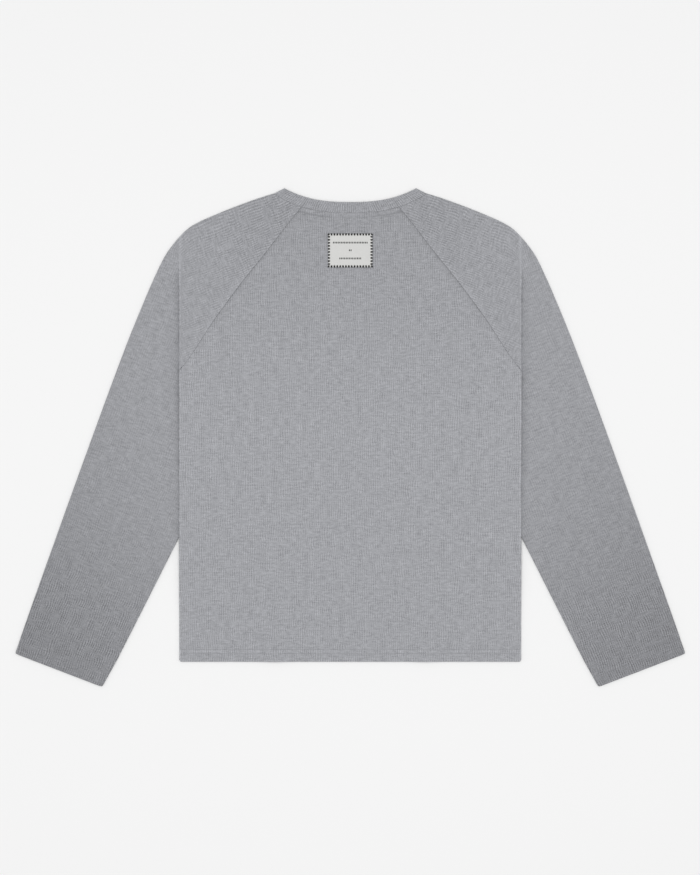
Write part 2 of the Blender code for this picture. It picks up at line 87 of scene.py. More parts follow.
# how far a raglan seam bows from its chord towards the shoulder, by how far down it is
RAGLAN_BOW = {
    "back": [(0.0, 0.0), (0.1, 1.5), (0.2, 1.9), (0.3, 2.6), (0.4, 3.9), (0.5, 4.8), (0.6, 4.6),
             (0.7, 3.8), (0.8, 1.6), (0.9, -0.4), (1.0, 0.0)],
    "front": [(0.0, 0.0), (0.5, 0.5), (1.0, 0.0)],
}
RAGLAN_ACROSS = (0.79, 0.61)    # across the seam, towards the sleeve
RAGLAN_HALF_GAP = SEAM_GAP / 2 / RAGLAN_ACROSS[0]
CUFF_INNER = (372.4, -374.4)
CUFF_OUTER = (503.0, -324.3)
OUTER_EDGE = [
    # down the shoulder and the outside of the sleeve
    SHOULDER,
    (137.6, 359.0),
    (170.6, 347.0),
    (200.6, 335.0),
    (227.6, 323.0),
    (247.0, 310.5),
    (268.0, 287.0),
    (283.0, 263.0),
    (308.6, 206.0),
    (344.6, 116.0),
    (410.6, -64.0),
    (475.0, -244.0),
    CUFF_OUTER,
]
PLEAT_TOP = (BODY_HALF, 270.0)
UNDERARM = (BODY_HALF, UNDERARM_Y)
HIDDEN_CORNER = (198.0, -46.0)       # where the folded sleeve reaches furthest under the body
SLEEVE_EXIT = (BODY_HALF, -154.0)    # and where its inner edge comes out
# how many degrees the pleat turns back, by height
PLEAT_TURN = ((221.0, 231.0, 241.0, 256.0, 270.0), (180.0, 130.0, 85.0, 40.0, 0.0))
TURN_FULL_Y = 224.0          # below here it lies flat, folded back in full
CORNER_STEP = 5.0            # rows either side of a corner that goes round a fold
RISE_REACH = 68.0            # the body starts to rise this far outside what lies under it,
RISE_FLAT = 9.0              # is level again this far outside,
RISE_CLEAR = 0.25            # and stays this much clear
# how far the sleeve's inner edge bows away from the body, by height
INNER_BOW = (
    (-374.4, -334.0, -289.0, -244.0, -199.0, -154.0, -100.0, -51.0),
    (0.0, -0.3, 1.2, 2.8, 4.6, 6.2, 4.0, 0.0),
)
# how open the raglan seams lie, down from the neck, and the neck seam, out from the centre
RAGLAN_OPEN = ((0.0, 0.35, 0.6, 0.8, 1.0), (0.6, 0.9, 1.0, 0.35, 0.15))
NECK_OPEN = ((0.0, 25.0, 50.0, 71.0, 100.0), (0.12, 0.2, 0.5, 0.6, 0.3))
# and how deep the topstitch below it has pulled
NECK_PULL = ((0.0, 25.0, 45.0, 71.0), (0.0, 0.15, 1.1, 1.6))

# ---- mesh --------------------------------------------------------------------
KEPT_DIGITS = 4           # of a point, so that equal points are one
NOSE = (0.0, 0.1, 0.3, 0.65, 1.3, 2.4)    # distances from a rounded edge that get a row
STEP = 4.0                # between rows and columns on open cloth
FINE = 1.2                # between rows where cloth is stitched
COLUMNS = 60              # from the centre line to a panel's edge
CAP_COLUMNS = 34          # on a sleeve, from the raglan seam to the pleat
OUT_COLUMNS = 32          # and from the pleat to the outer edge
BAND_COLUMNS = 12         # across the neckband
RIB_ROWS = 6.0            # to each rib of the neckband
BAND_RIB = 0.12           # height of a rib, and its share of the wall
RIB_FADE = (1.6, 1.2)     # how far in from the free edge and from the seam it rises
BAND_GROOVE = ((1.9,), 0.7, 0.2)    # the crease inside the free edge: place, width and depth
SEAM_POINTS, EVEN_POINTS = 60, 400    # that the neck seam and an evened line are followed through
CAP_SHARE = 0.85          # part of the cap's width that goes to its inner columns
CAP_SAG = 50.0            # how far down the shoulder the rows follow the neck's curve
CAP_NECK = (0.9, 0.3)     # slope of its neck seam, and how open that lies
EDGE_REACH = 3.0          # either side of a row, over which its edge's direction is taken
FOLD_STEPS = 8            # round each fold of the pleat
ARC_STEPS = 5             # round a quarter of a folded edge
FAN_INSET = 4.0           # the knit fans out from a point this far in from the pleat's top,
FAN_START, FAN_SPAN = 165.0, 150.0    # from this angle on and through this one, in degrees
BACK_CORNER = 1.5         # first row beyond the underarm of the back, as CORNER_STEP on the front
FRONT_CORNER = (4.2, 3.0)    # how far in and down the front's extra row at the underarm lies

# ---- stitching ---------------------------------------------------------------
HEM_LINES = (12.6, 18.6)      # needle lines above the hem
CUFF_LINES = (14.5, 21.5)     # and above the cuff's edge
HEM_MIDDLE, CUFF_MIDDLE = sum(HEM_LINES) / 2, sum(CUFF_LINES) / 2
NECK_LINE = 7.2               # topstitch below the neck seam
ALLOWANCE_LIFT = 0.6          # of the cloth between the two, over the seam's allowance
ALLOWANCE_FADE = (2.0, 0.4, 1.6)    # how soon it rises, how early it ends, how fast it falls
RAGLAN_CLEAR = (1.0, 0.6)     # of the topstitch from the raglan seam's top, and from the seam
STITCHED = 24.0               # depth of finely meshed cloth beside a stitched edge
SEAMED = 12.0                 # and beside a seam
HEM_POINTS, CUFF_POINTS, NECK_POINTS = 240, 80, 160    # that a needle line is followed through
STITCH_ENDS = (0.08, 0.92)    # where in its pitch a stitch goes down into the cloth
COVER_STITCH = (0.95, 0.5, 0.05)    # length as a share of the pitch, height and arch
EDGE_CLEAR = 2.0              # from the side of the cloth to the first stitch
CUFF_SLANT = (0.14, 0.05)     # how much narrower the cuff is than the sleeve above, inside and out
GROOVE_WIDTH = 1.1
GROOVE_DEPTH = 0.28           # share of the wall that a stitch squeezes away
WALL_LIMIT = 1.4              # wall where the share is 1
PLAIN = WALL / WALL_LIMIT
THINNEST = 0.02               # share of the wall that a rounded edge keeps
ROUND = 0.75                  # radius of a rounded edge
CORNER_RADIUS = 2.2           # of the hem's and cuffs' corners, seen from above

# ---- where the cloth doesn't lie quite flat ----------------------------------
# Soft ridges that lift every layer. A side of 0 is drawn on both halves, 1 right, -1 left.
CREASES = [
    # side, x0, y0, x1, y1, half width, height
    (0, 100.0, 322.0, 196.0, 214.0, 11.0, 0.75),
    (0, 122.0, 358.0, 236.0, 313.0, 7.0, 0.55),
    (0, 84.0, 352.0, 108.0, 362.0, 9.0, 0.3),
    (0, 150.0, 292.0, 236.0, 262.0, 16.0, 0.5),
    (0, 212.0, 176.0, 250.0, 96.0, 14.0, 0.6),
    (0, 236.0, 60.0, 240.0, -190.0, 13.0, 0.7),
    (1, 60.0, 26.0, 204.0, -66.0, 22.0, 0.5),
    (-1, 4.0, -104.0, 146.0, -34.0, 20.0, 0.55),
    (1, 30.0, 150.0, 150.0, 122.0, 26.0, 0.4),
    (-1, 70.0, 196.0, 168.0, 84.0, 24.0, 0.45),
    (1, 20.0, -214.0, 190.0, -258.0, 28.0, 0.45),
    (-1, 96.0, -190.0, 236.0, -246.0, 24.0, 0.4),
    (1, 300.0, 120.0, 352.0, 30.0, 18.0, 0.6),
    (-1, 292.0, 96.0, 366.0, -8.0, 21.0, 0.5),
    (1, 322.0, -70.0, 428.0, -116.0, 16.0, 0.5),
    (-1, 316.0, -120.0, 420.0, -84.0, 18.0, 0.55),
    (1, 372.0, -190.0, 462.0, -262.0, 17.0, 0.6),
    (-1, 380.0, -216.0, 452.0, -236.0, 15.0, 0.45),
    (1, 396.0, -318.0, 470.0, -300.0, 12.0, 0.4),
    (-1, 402.0, -330.0, 452.0, -286.0, 13.0, 0.35),
]
CREASE_FADE = (0.35, 0.3)    # share of its length over which a ridge rises, and where it starts
PUCKER_TURN = 6.0 / 9.0   # radians to the millimetre of the ripples that coverstitching leaves
PUCKER_SWAY = (2.0, 31.0)    # how far, in radians, and over how long they come early and late
PUCKER_HEIGHT = 0.09
PUCKER_REACH = 9.0        # either side of the needle line

# ---- tone and loft -----------------------------------------------------------
# Painted shade up the body, by height, and down a sleeve, by distance from the shoulder.
BODY_SHADE = (
    (-336.0, -100.0, 10.0, 120.0, 200.0, 300.0, 340.0),
    (0.965, 0.985, 0.995, 0.98, 0.95, 0.915, 0.88),
)
SLEEVE_SHADE = (
    (-150.0, -100.0, -40.0, 0.0, 110.0, 268.0, 425.0, 578.0, 660.0),
    (0.88, 0.9, 0.935, 0.938, 0.928, 0.92, 0.853, 0.742, 0.682),
)
# painted light: how much lighter a sleeve's inner side runs, from how far in, and over what length
# that sets in
INNER_LIGHT = (0.035, 70.0, 400.0)
BAND_CLOTH_TONE = 0.91
# how clearly the knit shows on the body, and down a sleeve
BODY_LOFT = 0.84
BAND_LOFT = 1.3
SLEEVE_LOFT = (
    (-150.0, -60.0, 0.0, 110.0, 268.0, 460.0, 520.0, 575.0, 660.0),
    (1.1, 0.9, 0.7, 0.5, 0.5, 0.6, 0.8, 1.4, 1.5),
)
# Painted light: shade and highlights painted into the cloth's tone beside folds, seams, needle
# lines and edges. How much darker it is there (lighter where negative), and how far that reaches:
FOLD_SHADOW = (0.085, 8.0)      # painted shadow of the body's edge, beside the body, over the fold of the pleat
SEAM_SHADE = (0.15, 2.2)       # painted shade on the body, along the raglan seam
BROAD_SEAM_SHADE = (0.04, 6.0)    # and fainter painted shade beyond it
SEAM_HIGHLIGHT = (-0.065, 7.0)    # painted highlight on the sleeve, along the same seam
NECK_GROOVE_SHADE = (0.13, 1.3)       # painted shade in the neck's topstitch
RIM_HIGHLIGHT = (-0.1, 1.6)        # painted highlight along the body's side edges
CAP_EDGE_HIGHLIGHT = (-0.2, 2.2)     # painted highlight on the cap, in line with them
BAND_HIGHLIGHT = (-0.04, 1.8)      # painted highlight between two needle lines
FOLD_SHADOW_FADE = (8.0, 16.0, 30.0)    # where the painted shadow beside the fold starts and ends, and over how long it fades

# ---- label -------------------------------------------------------------------
LABEL_CORNER = 1.3        # radius of its corners
TURNED_EDGE = (0.5, 0.5)    # how deep and how far in its edge rounds down
SCALLOP = (0.14, 1.2, 1.1)  # depth, place and width of the dips that the stitches pull
CROWN = (0.12, 12.0)      # height and reach of its crown
BUCKLE = (0.05, 7.0, 9.0)   # height of its faint buckles, and their pitch across and up
LABEL_SINK = 0.15         # how far the stitches press it into the cloth
OVERCAST = (3.7, 1.0, 0.25)    # length, height and arch of an overcast stitch
OVERCAST_INSET = 1.0      # from the label's edge to its middle
CORNER_INSET = 0.6        # and from the label's sides to those at its corners
OVERCAST_TILT = 0.16      # how much it rises from the cloth to the label
OVERCAST_LEAN = ((0.25, 2.3, 1.0), (0.22, 1.9, 2.0))    # along and down: most, and its uneven run
WOVEN_BAR = (3.0, 1.5, 0.4)    # length, width and height
BAR_PITCH = 2.4
BAR_ROWS = ((11.7, 22), (0.2, 2), (-12.0, 14))    # height on the label, and count


# ---- properties --------------------------------------------------------------

def colour_setting(name, text, hex_code):
    """A colour that a user may change, as sRGB hex."""
    return StringProperty(name=name, description=text, default=hex_code)


def size_setting(name, text, default, unit="LENGTH"):
    """A size or strength that a user may change."""
    return FloatProperty(name=name, description=text, default=default, unit=unit)


def count_setting(name, text, default):
    """A number of like things that a user may change."""
    return IntProperty(name=name, description=text, default=default, min=2)


class KnitTopCloth(bpy.types.PropertyGroup):
    """Knit, thread and label."""
    rib_pitch: size_setting("Rib pitch", "Distance between two ribs of the waffle knit", 0.0033)
    course_pitch: size_setting("Course pitch", "Height of one waffle cell", 0.0032)
    band_rib_pitch: size_setting("Neckband rib pitch", "Distance between two ribs of the neckband",
                                 0.0032)
    stitch: size_setting("Stitch length", "Length of one coverstitch", 0.0029)
    thread_width: size_setting("Thread width", "Width of a laid thread", 0.0007)
    heather_light: colour_setting("Light fibre", "Lightest fibres of the heather grey", "#C1C2C7")
    heather_dark: colour_setting("Dark fibre", "Darkest fibres of the heather grey", "#96979B")
    thread: colour_setting("Thread", "Sewing thread of the hem, cuffs and neck", "#96979B")
    label_white: colour_setting("Label", "Ground of the woven label", "#D3D3D1")
    label_bars: colour_setting("Label bars", "Woven bars on the label", "#323332")
    label_thread: colour_setting("Overcast thread", "Thread that sews the label on", "#101010")


class KnitTopLabel(bpy.types.PropertyGroup):
    """Overcast stitches of the label."""
    along: count_setting("Stitches along", "Overcast stitches on the top and bottom edges", 16)
    down: count_setting("Stitches down", "Overcast stitches between the corners of a side edge",
                        10)
    stitch_width: size_setting("Stitch width", "Width of one overcast stitch", 0.0025)


class KnitTopStage(bpy.types.PropertyGroup):
    """Table, light and camera."""
    table: colour_setting("Table", "Plain pale table", "#F3F3F3")
    lens: size_setting("Lens", "Focal length of the camera", 85.0, "CAMERA")
    view_width: size_setting("View width", "Width of the view at the top's height", 1.05)
    sky: size_setting("Sky", "Strength of the even light from all round", 0.5, "NONE")
    overhead: size_setting("Overhead", "Power of the large softbox overhead", 78.0, "POWER")
    side: size_setting("Side", "Power of each side softbox", 5.0, "POWER")


# ---- small geometry ----------------------------------------------------------

def between(a, b, s):
    """The value or point that lies the fraction s of the way from a to b."""
    if isinstance(a, tuple):
        return tuple(between(p, q, s) for p, q in zip(a, b))
    return a + (b - a) * s


def ease(s):
    """0 to 1 with a soft start and end."""
    s = np.clip(s, 0.0, 1.0)
    return s * s * (3.0 - 2.0 * s)


def direction(start, end):
    """The unit direction from one point to another."""
    length = math.dist(start, end)
    return ((end[0] - start[0]) / length, (end[1] - start[1]) / length)


def step_from(origin, heading, ahead, left=0.0):
    """The point this far ahead and left of an origin, facing along a heading."""
    return (origin[0] + heading[0] * ahead - heading[1] * left,
            origin[1] + heading[1] * ahead + heading[0] * left)


def right_of(x, y, start, end):
    """Distance of (x, y) to the right of the line from start to end, negative to its left."""
    dx, dy = end[0] - start[0], end[1] - start[1]
    return ((x - start[0]) * dy - (y - start[1]) * dx) / math.hypot(dx, dy)


def share_along(x, y, start, end):
    """How far (x, y) lies along the line from start to end, as a share of it."""
    dx, dy = end[0] - start[0], end[1] - start[1]
    return ((x - start[0]) * dx + (y - start[1]) * dy) / (dx * dx + dy * dy)


def run_along(line):
    """How far along a line of points each of them lies."""
    return np.concatenate([[0.0], np.cumsum(np.linalg.norm(np.diff(line, axis=0), axis=1))])


def rise(x, y):
    """Height of the body's underside above the table, over the hidden parts of the sleeve."""
    x = np.abs(x)
    beyond_fold = right_of(x, y, HIDDEN_CORNER, PLEAT_TOP)
    over_tube = np.minimum(beyond_fold, right_of(x, y, SLEEVE_EXIT, HIDDEN_CORNER))
    over_pleat = np.minimum(beyond_fold, right_of(x, y, UNDERARM, HIDDEN_CORNER))
    covered = sum(ease((inside + RISE_REACH) / (RISE_REACH - RISE_FLAT))
                  for inside in (over_tube, over_pleat))
    fade = ease((PLEAT_TOP[1] - y) / (PLEAT_TOP[1] - TURN_FULL_Y))
    return fade * covered * (2.0 * LAYER + RISE_CLEAR / 2.0)


def lift(x, y):
    """Height of the soft ridges at x, y, and of the ripples along the hem."""
    total = np.zeros(np.shape(x))
    for side, x0, y0, x1, y1, width, height in CREASES:
        for way in (1, -1) if side == 0 else (side,):
            start, end = (x0 * way, y0), (x1 * way, y1)
            along = share_along(x, y, start, end)
            ridge = height * np.exp(-(right_of(x, y, start, end) / width) ** 2)
            for beyond in (along, 1.0 - along):
                ridge = ridge * ease(beyond / CREASE_FADE[0] + CREASE_FADE[1])
            total = total + ridge
    hem = np.exp(-((y - HEM_Y - HEM_LINES[0]) / PUCKER_REACH) ** 2) * (np.abs(x) < BODY_HALF)
    ripple = np.sin(x * PUCKER_TURN + PUCKER_SWAY[0] * np.sin(x / PUCKER_SWAY[1]))
    return total + PUCKER_HEIGHT * hem * (1.0 + ripple)


# the shoulder ends of the band's edge and seam, moved in to the middle line of the fold
BAND_TIP, SEAM_TIP = [
    step_from(point, direction(TIP, SHOULDER), 0.0, -EDGE) for point in (TIP, SHOULDER)
]


def back_neck(x, shift=0.0):
    """Height of the back neck seam at x."""
    risen = (np.abs(x) / SEAM_TIP[0]) ** BAND_SEAM_POWER
    return BACK_SEAM_Y + shift + (SEAM_TIP[1] - BACK_SEAM_Y) * risen


def back_band(x):
    """Height of the band's free edge at the back."""
    return BACK_BAND_Y + (BAND_TIP[1] - BACK_BAND_Y) * (x / BAND_TIP[0]) ** BAND_EDGE_POWER


def front_curve(tip, bottom_y, angle, grow=0.0):
    """A point of a front neck curve: angle 0 is at the shoulder, a right angle at the centre."""
    power = 2.0 / FRONT_NECK_POWER
    x = (tip[0] + grow) * max(math.cos(angle), 0.0) ** power
    return (x, tip[1] - (tip[1] - bottom_y + grow) * math.sin(angle) ** power)


def front_angle(x):
    """The angle of front_curve at which the front neck seam is x from the centre."""
    return math.acos(min(x / SEAM_TIP[0], 1.0) ** (FRONT_NECK_POWER / 2.0))


def neck_seam(side, x):
    """Height of the neck seam on the back or the front at x."""
    if side == "back":
        return back_neck(x)
    return front_curve(SEAM_TIP, FRONT_SEAM_Y, front_angle(x))[1]


FRONT_RAGLAN_ANGLE = front_angle(FRONT_RAGLAN_X)
RAGLAN_TOP = {
    "back": (BACK_RAGLAN_X, float(back_neck(BACK_RAGLAN_X))),
    "front": front_curve(SEAM_TIP, FRONT_SEAM_Y, FRONT_RAGLAN_ANGLE),
}


def smooth_line(points, steps=16):
    """Points of a Catmull-Rom curve through the given points."""
    pts = [np.array(p) for p in points]
    pts = [2 * pts[0] - pts[1]] + pts + [2 * pts[-1] - pts[-2]]
    line = []
    for a, b, c, d in zip(pts, pts[1:], pts[2:], pts[3:]):
        for k in range(steps):
            s = k / steps
            line.append(0.5 * (2 * b + (c - a) * s + (2 * a - 5 * b + 4 * c - d) * s * s
                               + (3 * b - a - 3 * c + d) * s ** 3))
    line.append(pts[-2])
    return np.array(line)


BOW_LINES = {side: smooth_line(points).T for side, points in RAGLAN_BOW.items()}


def raglan(side, s, shift=0.0):
    """A point of the back or front raglan seam, s from the neck down, shifted to the sleeve."""
    start = RAGLAN_TOP[side]
    bow = float(np.interp(s, *BOW_LINES[side]))
    x, y = step_from(between(start, UNDERARM, s), direction(start, UNDERARM), 0.0, bow)
    shift *= float(np.interp(s, *RAGLAN_OPEN))
    return (x + shift * RAGLAN_ACROSS[0], y + shift * RAGLAN_ACROSS[1])


def raglan_at(side, y):
    """How far down its raglan seam the height y lies, as a fraction."""
    low, high = 0.0, 1.0
    for _ in range(40):
        s = (low + high) / 2.0
        if raglan(side, s)[1] > y:
            low = s
        else:
            high = s
    return (low + high) / 2.0


OUTER_LINE = smooth_line(OUTER_EDGE)


def outer_x(y):
    """The sleeve's outer edge at the height y."""
    return float(np.interp(-y, -OUTER_LINE[:, 1], OUTER_LINE[:, 0]))


def stations(length, fine=0.0):
    """Distances along a stretch in even steps, with closer ones at its start where it is sewn."""
    line = []
    low = 0.0
    if fine:
        count = round((fine - NOSE[-1]) / FINE)
        line = list(NOSE[:-1]) + [between(NOSE[-1], fine, k / count) for k in range(count)]
        low = fine
    count = max(round((length - low) / STEP), 1)
    return line + [between(low, length, k / count) for k in range(count + 1)]


def painted_light_at(distance, tone):
    """Painted shade this far from a fold, seam, edge or stitch; a painted highlight if negative.
    """
    return -tone[0] * np.exp(-(distance / tone[1]) ** 2)


def nose(distance, radius=ROUND):
    """Share of the wall this far from a rounded edge."""
    inside = np.clip(distance / radius, 0.0, 1.0)
    return np.sqrt(np.maximum(1.0 - (1.0 - inside) ** 2, 0.01))


def grooves(distance, lines, width=GROOVE_WIDTH, depth=GROOVE_DEPTH):
    """Share of the wall left where needle lines squeeze it, this far from the edge."""
    squeezed = sum(np.exp(-((distance - line) / width) ** 2) for line in lines)
    return 1.0 - depth * np.minimum(squeezed, 1.0)


# ---- sheets built from rows --------------------------------------------------

def select_only(thing=None):
    """Selects one object alone and makes it active, or selects nothing."""
    bpy.ops.object.select_all(action="DESELECT")
    if thing:
        thing.select_set(True)
        bpy.context.view_layer.objects.active = thing


def add_object(name, data):
    """A new object at the origin."""
    made = bpy.data.objects.new(name, data)
    bpy.context.scene.collection.objects.link(made)
    return made


# A row is a list of (key, (x, y, z), turn): keys match the rows, and turn is 0 where the knit
# runs with the shoulder and 1 where it runs with the sleeve.

def strip(faces, row_a, row_b):
    """Faces between two rows of (key, vertex), which need not have the same keys."""
    i = j = 0
    while i < len(row_a) - 1 or j < len(row_b) - 1:
        next_a = row_a[i + 1][0] if i < len(row_a) - 1 else math.inf
        next_b = row_b[j + 1][0] if j < len(row_b) - 1 else math.inf
        face = [row_a[i][1], row_b[j][1]]
        if next_b <= next_a:
            j += 1
            face.append(row_b[j][1])
        if next_a <= next_b:
            i += 1
            face.append(row_a[i][1])
        face = list(dict.fromkeys(face))
        if len(face) > 2:
            faces.append(face)


def sheet_mesh(name, halves):
    """A mesh from lists of rows, with its points and turns. Equal points are one vertex."""
    points = []
    turns = []
    seen = {}
    faces = []
    for rows in halves:
        indexed = []
        for row in rows:
            keyed = []
            for key, point, turn in row:
                place = tuple(round(float(c), KEPT_DIGITS) for c in point)
                if place not in seen:
                    seen[place] = len(points)
                    points.append(place)
                    turns.append(turn)
                keyed.append((key, seen[place]))
            indexed.append(keyed)
        for row_a, row_b in zip(indexed, indexed[1:]):
            strip(faces, row_a, row_b)
    mesh = bpy.data.meshes.new(name)
    points = np.array(points)
    mesh.from_pydata((points * MM).tolist(), [], faces)
    shape = bmesh.new()
    shape.from_mesh(mesh)
    bmesh.ops.recalc_face_normals(shape, faces=shape.faces)
    shape.to_mesh(mesh)
    shape.free()
    return mesh, points, np.array(turns)


def finish_cloth(mesh, points, share, grain, tone, loft, material):
    """Turns a sheet into a piece: its lift, the knit's own coordinates, its wall and its cloth."""
    raised = points.copy()
    raised[:, 2] += lift(points[:, 0], points[:, 1])
    mesh.vertices.foreach_set("co", (raised * MM).ravel())
    corners = np.zeros(len(mesh.loops), int)
    mesh.loops.foreach_get("vertex_index", corners)
    layer = mesh.uv_layers.new(name="grain")
    layer.data.foreach_set("uv", (grain * MM)[corners].ravel())
    for name, values in (("tone", tone), ("loft", loft)):
        spread = np.broadcast_to(values, len(points)).astype(np.float32)
        mesh.attributes.new(name, "FLOAT", "POINT").data.foreach_set("value", spread)
    piece = add_object(mesh.name, mesh)
    group = piece.vertex_groups.new(name="wall")
    for index, value in enumerate(np.clip(share, THINNEST, 1.0)):
        group.add([index], float(value), "REPLACE")
    walls = piece.modifiers.new("wall", "SOLIDIFY")
    walls.thickness = WALL_LIMIT * MM
    walls.offset = 0.0
    walls.vertex_group = "wall"
    walls.thickness_vertex_group = THINNEST
    mesh.materials.append(material)
    select_only(piece)
    bpy.ops.object.modifier_apply(modifier="wall")
    bpy.ops.object.shade_smooth()
    return piece


# ---- materials ---------------------------------------------------------------
WAVE_LENGTH = 0.31           # of a wave texture at scale 1
MIDDLE_HEIGHT = 0.6          # of the knit, where it is pulled flat
KNIT_RELIEF = 0.5 * MM       # from between the ribs to their tops


def linear(hex_code):
    """An sRGB hex colour as linear RGBA."""
    channels = [int(hex_code[k:k + 2], 16) / 255.0 for k in (1, 3, 5)]
    return (*[c / 12.92 if c <= 0.04045 else ((c + 0.055) / 1.055) ** 2.4 for c in channels], 1.0)


def add(tree, kind, inputs=(), **settings):
    """Adds a node with its settings. Inputs are in order or by name: values, or what they read."""
    made = tree.nodes.new("ShaderNode" + kind)
    for name, value in settings.items():
        setattr(made, name, value)
    for socket, value in inputs.items() if isinstance(inputs, dict) else enumerate(inputs):
        if isinstance(value, bpy.types.Node):
            value = value.outputs[0]
        if isinstance(value, bpy.types.NodeSocket):
            tree.links.new(value, made.inputs[socket])
        else:
            made.inputs[socket].default_value = value
    return made


def new_material(name):
    """An empty material with its shader, ready for its nodes."""
    made = bpy.data.materials.new(name)
    made.use_nodes = True
    tree = made.node_tree
    tree.nodes.clear()
    shader = add(tree, "BsdfPrincipled")
    add(tree, "OutputMaterial", (shader,))
    return made, tree, shader


def dress(tree, shader, colour, bump, values):
    """Gives a shader its colour, its bump and the values that are the same all over."""
    tree.links.new(colour.outputs[0], shader.inputs["Base Color"])
    tree.links.new(bump.outputs[0], shader.inputs["Normal"])
    for socket, value in values.items():
        shader.inputs[socket].default_value = value


def knit_material(name, rib_pitch, course_pitch, course_share, depth):
    """Cotton knit, spun from light and dark fibres: matt and faintly fuzzy, with raised ribs, a
    bar at each course and the fibres in short streaks."""
    cloth = bpy.context.scene.knit_top_cloth
    made, tree, shader = new_material(name)
    grain = add(tree, "UVMap", uv_map="grain")
    # ribs wander by up to two millimetres in 22, as knitted loops do
    wander = add(tree, "TexNoise", {"Vector": grain, "Scale": 1.0 / (22.0 * MM), "Detail": 1.0})
    wander = add(tree, "VectorMath", (wander.outputs["Color"], (0.5, 0.5, 0.5)),
                 operation="SUBTRACT")
    wander = add(tree, "VectorMath", {0: wander, "Scale": 6.0 * MM}, operation="SCALE")
    place = add(tree, "VectorMath", (grain, wander), operation="ADD")
    split = add(tree, "SeparateXYZ", (place,))
    waves = []
    for socket, pitch in zip(split.outputs, (rib_pitch, course_pitch)):
        turns = add(tree, "Math", (socket, 2.0 * math.pi / pitch), operation="MULTIPLY")
        wave = add(tree, "Math", (turns,), operation="COSINE")
        waves.append(add(tree, "Math", (wave, 0.5, 0.5), operation="MULTIPLY_ADD"))
    rib, course = waves
    # the bars are narrower than the hollows between them
    bar = add(tree, "Math", (course, 1.6), operation="POWER")
    bar = add(tree, "Math", (bar, course_share), operation="MULTIPLY")
    height = add(tree, "Math", (rib, bar), operation="MAXIMUM")
    # in patches of about 11 mm the cells are pulled flatter
    flat = add(tree, "TexNoise", {"Vector": grain, "Scale": 1.0 / (11.0 * MM), "Detail": 1.0})
    full = add(tree, "MapRange", (flat, 0.36, 0.56))
    # and they show less where the cloth is smoothed out, and more towards the cuffs
    loft = add(tree, "Attribute", attribute_name="loft").outputs["Fac"]
    full = add(tree, "Math", (full, loft), operation="MULTIPLY")
    height = add(tree, "Mix", {0: full, 2: MIDDLE_HEIGHT, 3: height}, clamp_factor=False)
    # streaks of one fibre tone, about 9 mm long and one course high
    streak = add(tree, "VectorMath", (grain, (1.0 / (9.0 * MM), 1.0 / (2.8 * MM), 1.0)),
                 operation="MULTIPLY")
    streak = add(tree, "TexNoise",
                 {"Vector": streak, "Scale": 1.0, "Detail": 3.0, "Roughness": 0.62})
    # tufts of fibre, about a millimetre
    fibre = add(tree, "VectorMath", (grain, (1.0 / (1.6 * MM), 1.0 / (0.8 * MM), 1.0)),
                operation="MULTIPLY")
    fibre = add(tree, "TexNoise", {"Vector": fibre, "Scale": 1.0, "Detail": 2.0})
    # uneven yarn, 18 mm from a light stretch to a dark one
    cloud = add(tree, "TexNoise", {"Vector": grain, "Scale": 1.0 / (18.0 * MM), "Detail": 2.0})
    # from dark fibre at 0 to light at 1: mostly streaks, with a little of the other two
    mix = add(tree, "MapRange", (streak, 0.0, 1.0, -0.5, 1.15), clamp=False)
    mix = add(tree, "Math", (cloud, 0.35, mix), operation="MULTIPLY_ADD")
    tufts = add(tree, "MapRange", (fibre, 0.0, 1.0, -1.1, 1.1), clamp=False)
    mix = add(tree, "Math", (tufts, loft, mix), operation="MULTIPLY_ADD", use_clamp=True)
    fibres = {0: mix, 6: linear(cloth.heather_dark), 7: linear(cloth.heather_light)}
    colour = add(tree, "Mix", fibres, data_type="RGBA").outputs[2]
    # less light comes back from between the ribs, painted as shade, and the tone attribute
    # multiplies in the painted shade and highlights
    shade = add(tree, "MapRange", (height, 0.0, 1.0, 1.0 - depth, 1.0), clamp=False)
    tone = add(tree, "Attribute", attribute_name="tone").outputs["Fac"]
    shade = add(tree, "Math", (shade, tone), operation="MULTIPLY")
    colour = add(tree, "VectorMath", {0: colour, "Scale": shade}, operation="SCALE")
    pile = add(tree, "Math", (fibre, 0.25, height), operation="MULTIPLY_ADD")
    bump = add(tree, "Bump", {"Height": pile, "Strength": 0.55, "Distance": KNIT_RELIEF})
    dress(tree, shader, colour, bump, {"Roughness": 0.92, "Specular IOR Level": 0.25,
                                       "Sheen Weight": 0.12, "Sheen Roughness": 0.6})
    return made


def thread_material(name, hex_code, pitch):
    """Spun thread or weft: two plies twisted together, with a dull gloss."""
    made, tree, shader = new_material(name)
    place = add(tree, "TexCoord").outputs["Object"]
    plies = add(tree, "TexWave",
                {"Vector": place, "Scale": WAVE_LENGTH / pitch, "Distortion": 2.0},
                bands_direction="DIAGONAL").outputs["Fac"]
    shade = add(tree, "Math", (plies, 0.35, 0.75), operation="MULTIPLY_ADD")
    colour = add(tree, "VectorMath", {0: linear(hex_code)[:3], "Scale": shade},
                 operation="SCALE")
    bump = add(tree, "Bump", {"Height": plies, "Strength": 0.4, "Distance": 0.1 * MM})
    dress(tree, shader, colour, bump, {"Roughness": 0.7})
    return made


